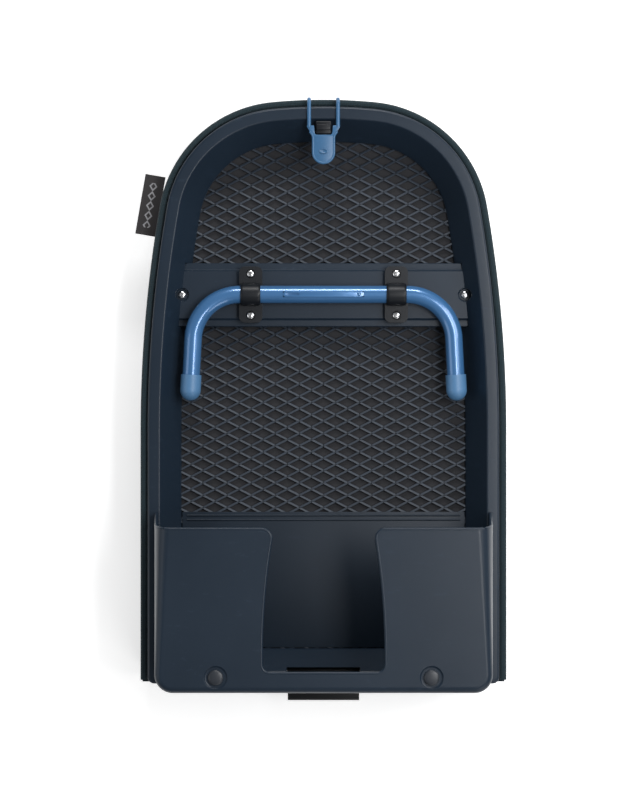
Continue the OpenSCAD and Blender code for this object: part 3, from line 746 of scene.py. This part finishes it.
class BOARD_OT_pads(Piece, bpy.types.Operator):
    """Felt pad of each half: a slab over the frame that folds down round the sides"""
    bl_idname = "board.pads"
    bl_label = "Felt pads"

    def execute(self, context):
        b = sizes("board")
        hem = RIM_DEPTH - b.hem_lift - 0.0012
        for half in HALVES:
            build = Build()
            outer, inner, start = 0.0013, b.band - 0.0002, 0.0046
            # inset and depth of the slab's edge, then of the part that folds down round the sides
            slab = [(outer + 0.0030, 0.0011), (outer + 0.0008, 0.0018), (outer, 0.0035), (outer, 0.0049)]
            loops = [lifted_end(level(closed_plan(i, max(i, 0.0018), b.corner), d), b.fold_edge, outer)
                     for i, d in slab]
            build.strips([place(q, half) for q in loops], around=True)
            build.filled(place(loops[0], half)).filled(place(loops[-1], half))
            side = [(inner, 0.0050), (outer, 0.0050), (outer, hem - 0.004), (outer + 0.0014, hem - 0.0006),
                    (inner - 0.0016, hem - 0.0002), (inner, hem - 0.0026)]
            rows = [place(level(arch(i, start), d), half) for i, d in side]
            turned = [np.array([row[n] for row in rows]) for n in range(len(rows[0]))]
            build.strips(turned, around=True, caps=True)
            pad = build.piece(f"{half}_felt", f"{half}_half", "felt", "felt", 45)
            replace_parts(pad, f"{half}_pad")
        return {"FINISHED"}


def lifted_end(loop, radius, inset):
    """Keeps the fold end of a loop behind the rounded fold edge of the cover."""
    q = np.array(loop, float)
    near = q[:, 1] < radius
    reach = radius - inset
    limit = radius - np.sqrt(np.maximum(reach ** 2 - (radius - q[:, 2]) ** 2, 0))
    q[near, 1] = np.maximum(q[near, 1], limit[near] + 0.0004)
    return q


class BOARD_OT_covers(Piece, bpy.types.Operator):
    """Woven cover of each half: stretched over the felt, down the sides and gathered under the hem"""
    bl_idname = "board.covers"
    bl_label = "Cloth covers"

    def execute(self, context):
        b = sizes("board")
        hem = RIM_DEPTH - b.hem_lift
        gather_pitch, pucker_depth, tuck, run_on = 0.0065, 0.00045, b.band - 0.0005, 0.006
        # inset and depth, from the gathered edge under the hem, up the side and over the edge
        section = [(b.band - 0.0004, hem - 0.0030), (b.band - 0.0010, hem - 0.0008),
                   (b.band - 0.0028, hem - 0.0002), (b.band - 0.0046, hem - 0.0001), (0.0010, hem - 0.0009),
                   (0.0003, hem - 0.0028), (0.0001, hem - 0.0080), (0.0, hem * 0.5), (0.0001, 0.0070),
                   (0.0005, 0.0036), (0.0016, 0.0014), (0.0036, 0.0004), (0.0070, 0.0001), (0.0110, 0.0)]
        for half in HALVES:
            build = Build()
            plans = [arch(i, 0.004, (28, 90, 30), 60) for i, d in section]
            widest = 7
            run = np.concatenate([[0], np.cumsum(np.linalg.norm(np.diff(plans[widest], axis=0), axis=1))])
            gather = 0.5 + 0.5 * np.sin(run * 2 * math.pi / gather_pitch + 1.3 * np.sin(run * 41))
            rows, uvs, down = [], [], 0.0
            for n, ((i, d), plan) in enumerate(zip(section, plans)):
                pucker = max(0.0, 1 - n / widest) * pucker_depth
                row = np.column_stack([plan, np.broadcast_to(d - gather * pucker, run.shape)])
                # at the fold end the cloth turns in over the cut end of the felt
                ends = [(s * (HALF_WIDTH - max(tuck, i)), 0.0038, max(d, 0.0008)) for s in (1, -1)]
                rows.append(place(np.vstack([ends[:1], row, ends[1:]]), half))
                if n:
                    down += math.dist(section[n], section[n - 1])
                uvs += [(s, down) for s in (-run_on, *run, run[-1] + run_on)]
            build.strips(rows, uvs=uvs)
            inner = plans[-1]
            start = b.fold_edge
            top = inner[inner[:, 1] > start]
            top = np.vstack([[inner[0][0], start], top, [inner[-1][0], start]])
            build.filled(place(level(top, 0.0), half))
            # the wrap round the fold edge, closed at both ends
            turns = np.radians(np.arange(0, 91, 9))
            wide = HALF_WIDTH - 0.0006
            xs = np.linspace(-wide, wide, 60)
            wrap = [place([(x, start - start * math.sin(t), start - start * math.cos(t)) for x in xs], half)
                    for t in turns]
            build.strips(wrap, uvs=[(x, start * t) for t in turns for x in xs])
            for s in (-1, 1):
                side = s * inner[0][0]
                patch = [[side, start], [s * wide, start], [s * wide, 0.0125], [side, 0.0125]]
                build.filled(place(level(patch, 0.00005), half))
                fan = [(s * wide, start - start * math.sin(t), start - start * math.cos(t)) for t in turns]
                build.filled(place([*fan, (s * wide, start, start)], half))
                ledge = [(s * (HALF_WIDTH - b.band), y, start) for y in (0.0, start)]
                build.filled(place([ledge[0], fan[-1], (s * wide, start, start), ledge[1]], half))
            cover = build.piece(f"{half}_cloth", f"{half}_half", "cover_cloth", "cloth", 60)
            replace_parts(cover, f"{half}_cover")
        return {"FINISHED"}


class BOARD_OT_plates(Piece, bpy.types.Operator):
    """Cross plate of each half: a channel with a step along each side and a dish round each end screw"""
    bl_idname = "board.plates"
    bl_label = "Cross plates"

    def execute(self, context):
        f = sizes("fittings")
        face = PLATE_DEPTH
        low, flange = face - 0.0078, face - 0.0025
        half_w, raised = f.plate_width / 2, 0.02225
        # distance from the leg's axis and depth, up one side of the channel
        side = [(half_w, low), (half_w, flange - 0.0006), (half_w - 0.0006, flange),
                (raised + 0.0016, flange), (raised + 0.0006, flange + 0.0004),
                (raised - 0.0002, face - 0.0008), (raised - 0.0010, face)]
        profile = [(-y, d) for y, d in side] + side[::-1]
        for half in HALVES:
            ends = [place([(x, LEG_Y + y, d) for y, d in profile], half)
                    for x in (-f.plate_half, f.plate_half)]
            plate = Build().strips(ends, around=True, caps=True).piece(
                f"{half}_plate", f"{half}_half", "plate_metal", "plate", 30)
            dishes = [lathed([(f.dish - 0.0006, -0.0026), (f.dish, -0.0020), (f.dish + 0.0002, -0.0006),
                              (f.dish + 0.0009, 0.0001), (f.dish + 0.0012, 0.002)],
                             (s * f.plate_screw, LEG_Y, face), half, 48) for s in (-1, 1)]
            even(carve(plate, dishes, sharp=30))
            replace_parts(plate, f"{half}_cross_plate")
        return {"FINISHED"}


class BOARD_OT_saddles(Piece, bpy.types.Operator):
    """Saddles over the leg tubes: a foot with round corners at each end and a band over the tube"""
    bl_idname = "board.saddles"
    bl_label = "Saddles"

    def execute(self, context):
        f = sizes("fittings")
        top, corner, open_to = PLATE_DEPTH + f.foot, 0.0052, LEG_DEPTH - TUBE_R
        for half in HALVES:
            for name, s in (("left", -1), ("right", 1)):
                x = s * f.saddle_x
                plan = rounded_box_plan(x, LEG_Y, f.saddle_width, f.saddle_length, corner)
                foot = pushed(plan, PLATE_DEPTH, top, half).piece(
                    f"{half}_saddle_{name}_soft", f"{half}_half", "saddle_plastic", "fitting", 30)
                bevel(foot, 0.0010, 3, 50, 30)
                body = half_round(x, f.band_width, TUBE_R + 0.00005 + f.band, half)
                carve(foot, [body], "UNION", 30)
                cuts = [leg_bore(x, f.saddle_width + 0.004, TUBE_R + 0.00006, half),
                        block((x - 0.02, LEG_Y - TUBE_R, open_to - 0.004),
                              (x + 0.02, LEG_Y + TUBE_R, open_to + 0.0001), half)]
                cuts += [lathed([(0.0040, -0.0013), (0.0042, 0.0), (0.0047, 0.0004), (0.0047, 0.004)],
                                (x, LEG_Y + t * f.saddle_screw, top), half, 40) for t in (-1, 1)]
                carve(foot, cuts, sharp=30)
                even(bevel(foot, 0.0004, 2, 40, 30))
                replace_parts(foot, f"{half}_saddle_{name}")
        return {"FINISHED"}


def half_round(x, width, radius, half):
    """The body of a band over the tube, with crowned edges."""
    foot, edge, rows = PLATE_DEPTH + 0.0004, 0.0011, []
    outline = np.vstack([[[-radius, foot]], arc([0, LEG_DEPTH], radius, 180, 0, 28), [[radius, foot]]])
    y, depth = outline.T
    for t in (-1, -0.92, -0.7, 0.7, 0.92, 1):
        share = 1 - edge * max(0.0, (abs(t) - 0.7) / 0.3) ** 2 / radius
        round_part = np.where(depth > LEG_DEPTH - 0.001, LEG_DEPTH + (depth - LEG_DEPTH) * share, depth)
        shrunk = np.column_stack([y * share, round_part])
        rows.append(place([(x + t * width / 2, LEG_Y + y, d) for y, d in shrunk], half))
    return Build().strips(rows, around=True, caps=True)


def leg_bore(x, length, radius, half):
    """A round bar along the leg's axis, to cut its way through a saddle."""
    ring = [(LEG_Y + radius * math.cos(t), LEG_DEPTH + radius * math.sin(t)) for t in whole_turn(48)]
    rows = [place([(x + s * length / 2, *q) for q in ring], half) for s in (-1, 1)]
    return Build().strips(rows, around=True, caps=True)


class BOARD_OT_screws(Piece, bpy.types.Operator):
    """Plated screws with domed heads and a cross recess, wherever the frame has them"""
    bl_idname = "board.screws"
    bl_label = "Screws"

    def execute(self, context):
        f = sizes("fittings")
        for half in HALVES:
            plate = [(s * f.plate_screw, LEG_Y, PLATE_DEPTH - 0.0024) for s in (-1, 1)]
            screws(f"{half}_plate_screw_heads", f"{half}_plate_screws", plate, half)
            seat = PLATE_DEPTH + f.foot - 0.0012
            saddle = [(s * f.saddle_x, LEG_Y + t * f.saddle_screw, seat) for s in (-1, 1) for t in (-1, 1)]
            screws(f"{half}_saddle_screw_heads", f"{half}_saddle_screws", saddle, half)
        lug_top = RIM_DEPTH + sizes("pocket").wall
        pocket = [(*q, lug_top) for q in pocket_screw_places()]
        screws("pocket_screw_heads", "pocket_screws", pocket, "front")
        return {"FINISHED"}


def pocket_screw_places(inset=0.0055):
    """Where the pocket's four lugs are screwed down, at a distance from the inside of its wall."""
    k = sizes("pocket")
    x, low, below_mouth = k.half_width - k.wall - inset, 0.040, 0.024
    return [(s * x, y) for s in (-1, 1) for y in (low, k.mouth - below_mouth)]


def screws(name, node, places, half):
    """One piece for a group of like screws: each head is carved once, then set down at each place."""
    f = sizes("fittings")
    r, h = f.head, f.head_height
    shank, edge, rise = 0.00174, h * 0.34, h * 0.62
    profile = [(0.0002, -0.0005), (shank, -0.0005), (shank, 0.0), (r, 0.0), (r, edge),
               *[(r * math.cos(t), edge + rise * math.sin(t)) for t in np.radians([18, 36, 54, 70])],
               (0.0002, h * 0.965)]
    head = lathed(profile, (0, 0, 0), None, 40).piece(name, f"{half}_half", "chrome_screws", "screw", 35)
    arm, slit, deep = 0.0019, 0.00042, h * 0.42
    cross = [block((-x, -y, deep), (x, y, h + 0.001)) for x, y in ((arm, slit), (slit, arm))]
    carve(head, cross, sharp=35)
    points = np.array([v.co for v in head.data.vertices])
    faces = [tuple(p.vertices) for p in head.data.polygons]
    build = Build()
    for n, (x, y, d) in enumerate(places):
        # each head is left at an angle of its own
        cos, sin = math.cos(0.5 + 1.1 * n), math.sin(0.5 + 1.1 * n)
        px, py, pz = points.T
        turned = np.column_stack([px * cos - py * sin + x, px * sin + py * cos + y, pz + d])
        build.extend(place(turned, half), faces)
    bpy.data.objects.remove(head)
    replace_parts(build.piece(name, f"{half}_half", "chrome_screws", "screw", 35, weld=False), node)


# ---------- the legs ----------

class BOARD_OT_legs(Piece, bpy.types.Operator):
    """U legs: gloss tube, rubber caps and the sprung catch let into the middle of the tube"""
    bl_idname = "board.legs"
    bl_label = "U legs"

    def execute(self, context):
        for half in HALVES:
            repaint(f"{half}_leg_tube", "tube")
            repaint(f"{half}_leg_caps", "cap")
            low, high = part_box(f"{half}_leg_spring")
            long, wide = high.x - low.x, high.y - low.y
            proud, thick = LEG_DEPTH + TUBE_R + 0.0006, 0.0024
            plan = rounded_box_plan(0, LEG_Y, long, wide, wide * 0.49, 8)
            strip = pushed(plan, proud - thick, proud, half).piece(
                f"{half}_leg_catch", f"{half}_leg", "blue_tube", "tube", 35)
            slot_plan = rounded_box_plan(-long / 2 + 0.0085, LEG_Y, 0.012, wide * 0.5, wide * 0.24, 6)
            carve(strip, [pushed(slot_plan, proud - thick / 2, proud + 0.001, half)], sharp=35)
            bevel(strip, 0.0005, 3, 40, 40)
            button = lathed([(0.0002, -0.0012), (0.0019, -0.0012), (0.0019, 0.0), (0.0016, 0.0005),
                             (0.0009, 0.0008), (0.0002, 0.0009)],
                            (long / 2 - 0.0045, LEG_Y, proud - 0.0002), half, 28)
            button.piece(f"{half}_leg_button", f"{half}_leg", "blue_tube", "tube", 50)
            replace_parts(strip, f"{half}_leg_spring")
        return {"FINISHED"}


def repaint(node, material):
    """Gives a CAD node that stays in view a better material."""
    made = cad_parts[node]
    made.data.materials.clear()
    made.data.materials.append(finish(material))


# ---------- the iron pocket ----------

def mouth_at(k, depth):
    """How far the pocket's sloped mouth is from the fold end, at one depth."""
    return k.mouth - k.drop * (depth - RIM_DEPTH) / (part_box("iron_pocket")[1].z - FRONT_TOP - RIM_DEPTH)


class BOARD_OT_pocket(Piece, bpy.types.Operator):
    """Iron pocket: a box with soft edges, open at its mouth and down its front, with a beaded edge"""
    bl_idname = "board.pocket"
    bl_label = "Iron pocket"

    def execute(self, context):
        k, b = sizes("pocket"), sizes("board")
        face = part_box("iron_pocket")[1].z - FRONT_TOP
        top = mouth_at(k, face)
        turns = np.radians(np.linspace(0, 90, 11))
        depths = np.unique(np.round(np.concatenate([
            np.linspace(RIM_DEPTH, face - k.edge, 8), face - k.edge + k.edge * np.sin(turns),
            face - k.foot + k.foot * np.sin(turns)]), 6))

        def round_at(radius, d):
            """The corner's radius where a round edge begins to take it in."""
            over = max(0.0, d - (face - radius))
            return k.corner - radius + math.sqrt(max(radius ** 2 - over ** 2, 0.0))

        def cup(d):
            """The outer wall at one depth, from the mouth at the left round to the mouth at the right."""
            x = k.half_width - k.lean * min(1, (d - RIM_DEPTH) / (face - k.foot - RIM_DEPTH)) - k.corner
            y = b.shell_end + k.corner
            low, high, to_edge = round_at(k.foot, d), round_at(k.edge, d), k.mouth + 0.030 - y
            up = [(x + low + (high - low) * (v - y) / to_edge, v)
                  for v in y + (mouth_at(k, d) - y) * np.linspace(0, 1, 9)[1:]]
            right = np.vstack([arc([x, y], low, -90, 0, 14), up])
            return level(np.vstack([(right * [-1, 1])[::-1], right]), d)

        loops = [cup(d) for d in depths]
        build = Build().strips([place(q, "front") for q in loops])
        last = loops[-1][:, :2]
        straight, curve_top = k.sill + 0.016, top - k.cut_corner
        side = np.vstack([
            arc([k.cut_bottom - k.cut_corner, k.sill + k.cut_corner], k.cut_corner, -90, 0, 10),
            [(k.cut_bottom - (k.cut_bottom - k.cut_top) * t * t, straight + (curve_top - straight) * t)
             for t in np.linspace(0, 1, 22)],
            arc([k.cut_top + k.cut_corner, curve_top], k.cut_corner, 180, 90, 10, 1)])
        opening = np.vstack([(side * [-1, 1])[::-1], side])
        outline = np.vstack([last, opening[::-1]])
        build.filled(place(level(outline, face), "front"))
        pocket = build.piece("pocket_shell", "front_half", "pocket_plastic", "pocket", 40)
        thick = pocket.modifiers.new("wall", "SOLIDIFY")
        thick.thickness, thick.offset, thick.use_even_offset = k.wall, -1, True
        settled(pocket, 40)
        dishes = [lathed([(0.0084, -0.0012), (0.0091, -0.0011), (0.0097, -0.0007), (0.0102, -0.0001),
                          (0.0109, 0.0002), (0.0109, 0.003)], (s * k.bumper_x, k.bumper_y, face), "front", 56)
                  for s in (-1, 1)]
        even(carve(pocket, dishes, sharp=50))
        ears, domes = Build(), Build()
        for x, y in pocket_screw_places(0.0052):
            lug = rounded_box_plan(x, y, 0.0118, 0.0118, 0.0022)
            pushed(lug, RIM_DEPTH, RIM_DEPTH + k.wall, "front", ears)
        r = k.bumper
        for s in (-1, 1):
            lathed([(r - 0.0005, -0.0012), (r, -0.0008), (r, -0.0001), (r * 0.96, 0.0005), (r * 0.87, 0.0009),
                    (r * 0.7, 0.0012), (r * 0.4, 0.00145), (0.0002, 0.0015)],
                   (s * k.bumper_x, k.bumper_y, face), "front", 44, domes)
        ears.piece("pocket_lugs", "front_half", "pocket_plastic", "pocket", 35)
        bumpers = domes.piece("bumper_domes", "front_half", "bumper_rubber", "bumper", 60)
        # the round bead that finishes the pocket's free edge, from one side of the rim to the other
        edge = np.array([q[-1] for q in loops])
        run = np.gradient(edge[:, [0, 2]], axis=0)
        out = np.column_stack([run[:, 1], -run[:, 0]]) / np.linalg.norm(run, axis=1)[:, None]
        middle = edge.copy()
        middle[:, [0, 2]] -= out * k.wall / 2
        path = np.vstack([middle * [-1, 1, 1], level(opening, face - k.wall / 2), middle[::-1]])
        swept(place(path, "front"), k.wall / 2 + k.bead).piece(
            "pocket_bead", "front_half", "pocket_plastic", "pocket", 60)
        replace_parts(pocket, "iron_pocket")
        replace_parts(bumpers, "pocket_bumpers")
        return {"FINISHED"}


class BOARD_OT_shield(Piece, bpy.types.Operator):
    """Heat shield behind the iron, with two pressed ribs along its top edge"""
    bl_idname = "board.shield"
    bl_label = "Heat shield"

    def execute(self, context):
        low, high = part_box("heat_shield")
        shield = block(low, high).piece("shield_sheet", "front_half", "shield_metal", "shield", 30)
        bevel(shield, 0.0004, 2, 40, 30)
        ribs = Build()
        for back in (0.0032, 0.0072):
            path = [(x, high.y - back, high.z - 0.0002)
                    for x in np.linspace(low.x + 0.004, high.x - 0.004, 8)]
            swept(path, 0.0009, 10, build=ribs)
        ribs.piece("shield_ribs", "front_half", "shield_metal", "shield", 60)
        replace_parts(shield, "heat_shield")
        return {"FINISHED"}


# ---------- hinge, latch and label ----------

class BOARD_OT_hinge(Piece, bpy.types.Operator):
    """Hinge link between the halves, with soft edges, and the pins that it turns on"""
    bl_idname = "board.hinge"
    bl_label = "Hinge"

    def execute(self, context):
        low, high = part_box("hinge_link")
        inset, r, web = 0.010, 0.0035, low.y + 0.0152
        pin_y, rear_pin, front_pin = FOLD_Y + inset, REAR_TOP - inset, FRONT_TOP + inset
        eye = rear_pin - low.z
        profile = np.vstack([
            arc([low.y + r, low.z + r], r, 270, 180, 6), arc([low.y + r, high.z - r], r, 180, 90, 6),
            arc([pin_y, front_pin], eye, 90, -90, 14), [[pin_y - 0.0105, front_pin - eye - 0.0002]],
            [[web, front_pin - eye], [web, rear_pin + eye]], arc([pin_y, rear_pin], eye, 90, -90, 14)])
        rows = [[(x, y, z) for y, z in profile] for x in (low.x, high.x)]
        link = Build().strips(rows, around=True).filled(rows[0]).filled(rows[1]).piece(
            "hinge_block", "hinge_link", "hinge_plastic", "hinge", 35)
        bevel(link, 0.0016, 4, 50, 35)
        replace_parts(link, "hinge_link")
        repaint("rear_hinge_pin", "pin")
        repaint("front_hinge_pin", "pin")
        return {"FINISHED"}


class BOARD_OT_latch(Piece, bpy.types.Operator):
    """Rubber latch loop with its keeper, bracket and pin"""
    bl_idname = "board.latch"
    bl_label = "Latch"

    def execute(self, context):
        m = sizes("latch")
        low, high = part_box("latch_strap")
        pin_low, pin_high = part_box("latch_pin")
        pin_y, pin_z = (pin_low.y + pin_high.y) / 2, (pin_low.z + pin_high.z) / 2
        over = high.z - m.bar - 0.0003
        bend = 0.0046
        window_top = low.y + m.tab_length + m.window_length
        loop = Build()
        for s in (-1, 1):
            x = s * m.bar_x
            foot, lie = pin_z + 0.0005, pin_y - bend
            path = [(x, pin_y, foot + (over - bend - foot) * t) for t in np.linspace(0, 1, 8)]
            path += [(x, lie + q[0], over - bend + q[1]) for q in arc([0, 0], bend, 0, 90, 8, 1)]
            path += [(x, lie + (window_top - 0.001 - lie) * t, over) for t in (0.25, 0.5, 0.75, 1.0)]
            swept(path, m.bar, 16, build=loop)
            rows = [[(x + w, pin_y + m.eye * r * math.cos(t), pin_z + m.eye * r * math.sin(t))
                     for t in whole_turn(28)]
                    for w, r in ((-0.0023, 0.85), (-0.0019, 1.0), (0.0019, 1.0), (0.0023, 0.85))]
            loop.strips(rows, around=True, caps=True)
        tip = low.y + m.tab_half
        edge = m.bar_x + m.bar
        neck = window_top - 0.004
        right = np.vstack([arc([0, tip], m.tab_half, -90, 0, 14), [[m.tab_half, neck - 0.006],
                           [m.tab_half + 0.0006, neck - 0.003], [edge - 0.0016, neck + 0.0005],
                           [edge, neck + 0.003], [edge, window_top + 0.0004]]])
        r = 0.0022
        outline = np.vstack([right, [[m.window + 0.0006, window_top + 0.0004]],
                             arc([m.window - r, window_top - m.window_length + r], r, 0, -90, 6)])
        plan = np.vstack([outline, (outline * [-1, 1])[::-1]])
        flat = pushed(plan, over - 0.0011, over + 0.0011)
        tab = flat.piece("loop_tab", "latch", "blue_strap", "loop", 35)
        bevel(tab, 0.0005, 2, 45, 40)
        button = lathed([(0.0035, 0.0), (0.0035, 0.0008), (0.0030, 0.0010), (0.0022, 0.0004),
                         (0.0002, 0.0002)], (0, 0, over + 0.0009), None, 32)
        for n, p in enumerate(button.points):
            button.points[n] = (p[0] * 1.15, p[1] * 0.62 + tip + 0.0012, p[2])
        button.piece("loop_dimple", "latch", "blue_strap", "loop", 60)
        edge_path = np.vstack([(right[:-2] * [-1, 1])[::-1], right[:-2]]) * 0.93 + [0, tip * 0.07]
        swept([(x, y, over + 0.0003) for x, y in edge_path], 0.00125, 12, build=loop)
        bars = loop.piece("loop_bars", "latch", "blue_strap", "loop", 60)
        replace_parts(bars, "latch_strap")
        k_low, k_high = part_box("latch_keeper")
        rim_z = FRONT_TOP + RIM_DEPTH
        keeper = block(k_low, (k_high.x, k_high.y, rim_z)).piece(
            "keeper_block", "front_half", "saddle_plastic", "fitting")
        bevel(keeper, 0.0012, 3, 50, 35)
        catch = block((k_low.x + 0.0008, k_low.y + 0.0036, rim_z - 0.001),
                      (k_high.x - 0.0008, k_low.y + 0.0088, k_high.z)).piece(
            "keeper_catch", "front_half", "saddle_plastic", "fitting")
        bevel(catch, 0.0007, 3, 50, 35)
        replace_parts(keeper, "latch_keeper")
        repaint("latch_bracket", "fitting")
        repaint("latch_pin", "pin")
        return {"FINISHED"}


class BOARD_OT_label(Piece, bpy.types.Operator):
    """Woven label folded double and sewn into the edge of the front cover"""
    bl_idname = "board.label"
    bl_label = "Woven label"

    def execute(self, context):
        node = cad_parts["label_tag"].data
        p = np.array([v.co for v in node.vertices])
        middle = p.mean(0)
        flat = p[:, :2] - middle[:2]
        vectors = np.linalg.eigh(flat.T @ flat)[1]
        along, out = vectors[:, 1], vectors[:, 0]
        along = along if along[1] > 0 else -along
        out = out if out[0] < 0 else -out
        long, wide = 2 * np.abs(flat @ along).max(), 2 * np.abs(flat @ out).max()
        root = middle[:2] - out * wide / 2
        steps, lift, bend = np.linspace(0, 1, 25), 0.00042, 0.965
        sweep = [(t, lift) for t in np.linspace(0, bend, 14)]
        sweep += [(bend + (1 - bend) * math.cos(a), lift * math.sin(a))
                  for a in np.radians([60, 30, 0, -30, -60])]
        sweep += [(t, -lift) for t in np.linspace(bend, 0, 14)]
        rows, uvs, run, last = [], [], 0.0, None
        for t, up in sweep:
            run += 0 if last is None else math.dist((t * wide, up), last)
            last = (t * wide, up)
            row = []
            for s in steps:
                curl = 0.0011 * t * t * math.sin(s * 2.6 + 0.4) - 0.0006 * t * t
                q = root + out * wide * t + along * long * (s - 0.5)
                row.append((q[0], q[1], middle[2] + up + curl))
                uvs.append((run, s * long))
            rows.append(row)
        label = Build().strips(rows, uvs=uvs).piece("label_fold", "front_half", "label_weave", "label", 60)
        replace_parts(label, "label_tag")
        return {"FINISHED"}


# ---------- stage ----------

class BOARD_OT_stage(Piece, bpy.types.Operator):
    """Pale floor, soft studio lights and the camera above the shut board"""
    bl_idname = "board.stage"
    bl_label = "Stage"

    def execute(self, context):
        scene = context.scene
        floor = bpy.data.objects.new("studio_floor", bpy.data.meshes.new("studio_floor"))
        floor.data.from_pydata([(-6, -6, 0), (6, -6, 0), (6, 6, 0), (-6, 6, 0)], [], [(0, 1, 2, 3)])
        floor.data.materials.append(finish("floor"))
        scene.collection.objects.link(floor)
        world = bpy.data.worlds.new("studio")
        world.use_nodes = True
        sky = world.node_tree.nodes["Background"].inputs
        sky[0].default_value, sky[1].default_value = (1, 1, 1, 1), 0.24
        scene.world = world
        scene.view_settings.view_transform = "Standard"
        # each lamp's name, place, two sides and watts
        aim = Vector((0, 0.02, 0.05))
        lamps = (("softbox", (0.46, 0.02, 1.30), 0.85, 0.30, 8.5), ("key", (1.0, 0.45, 1.15), 0.7, 0.7, 9),
                 ("fill", (-1.8, -0.3, 1.2), 1.2, 1.2, 6), ("strip", (0.1, 1.7, 1.0), 0.9, 0.3, 20),
                 ("low", (0.9, -1.6, 1.0), 1.0, 1.0, 7))
        for name, spot, long, wide, power in lamps:
            lamp = bpy.data.lights.new(name, "AREA")
            lamp.shape, lamp.size, lamp.size_y, lamp.energy = "RECTANGLE", long, wide, power
            light = bpy.data.objects.new(name, lamp)
            light.location = spot
            light.rotation_mode = "QUATERNION"
            light.rotation_quaternion = (aim - Vector(spot)).to_track_quat("-Z", "Y")
            scene.collection.objects.link(light)
        camera = bpy.data.objects.new("camera", bpy.data.cameras.new("camera"))
        camera.location = (-0.00315, -0.00045, 2.481)
        camera.data.lens, camera.data.sensor_width = 120, 36
        camera.data.clip_start, camera.data.clip_end = 0.05, 20
        scene.collection.objects.link(camera)
        scene.camera = camera
        return {"FINISHED"}


STEPS = (BOARD_OT_stage, BOARD_OT_shells, BOARD_OT_lattices, BOARD_OT_pads, BOARD_OT_covers,
         BOARD_OT_plates, BOARD_OT_saddles, BOARD_OT_screws, BOARD_OT_legs, BOARD_OT_pocket,
         BOARD_OT_shield, BOARD_OT_hinge, BOARD_OT_latch, BOARD_OT_label)
GROUPS = {"board": BoardSizes, "lattice": LatticeSizes, "fittings": FittingSizes, "pocket": PocketSizes,
          "latch": LatchSizes, "colours": BoardColours}


class BOARD_PT_panel(bpy.types.Panel):
    """Sizes, colours and steps of the ironing board"""
    bl_idname = "BOARD_PT_panel"
    bl_label = "Ironing board"
    bl_space_type = "VIEW_3D"
    bl_region_type = "UI"
    bl_category = "Ironing board"

    def draw(self, context):
        for name in GROUPS:
            box = self.layout.box()
            box.label(text=name.capitalize())
            group = sizes(name)
            for key in group.__annotations__:
                box.prop(group, key)
        for step in STEPS:
            self.layout.operator(step.bl_idname)


def register():
    for name, group in GROUPS.items():
        bpy.utils.register_class(group)
        setattr(bpy.types.Scene, "ironing_" + name, bpy.props.PointerProperty(type=group))
    for kind in (*STEPS, BOARD_PT_panel):
        bpy.utils.register_class(kind)


def unregister():
    for kind in (BOARD_PT_panel, *reversed(STEPS)):
        bpy.utils.unregister_class(kind)
    for name, group in GROUPS.items():
        delattr(bpy.types.Scene, "ironing_" + name)
        bpy.utils.unregister_class(group)


def main():
    register()
    for step in STEPS:
        getattr(bpy.ops.board, step.bl_idname.split(".")[1])()


if __name__ == "__main__":
    main()
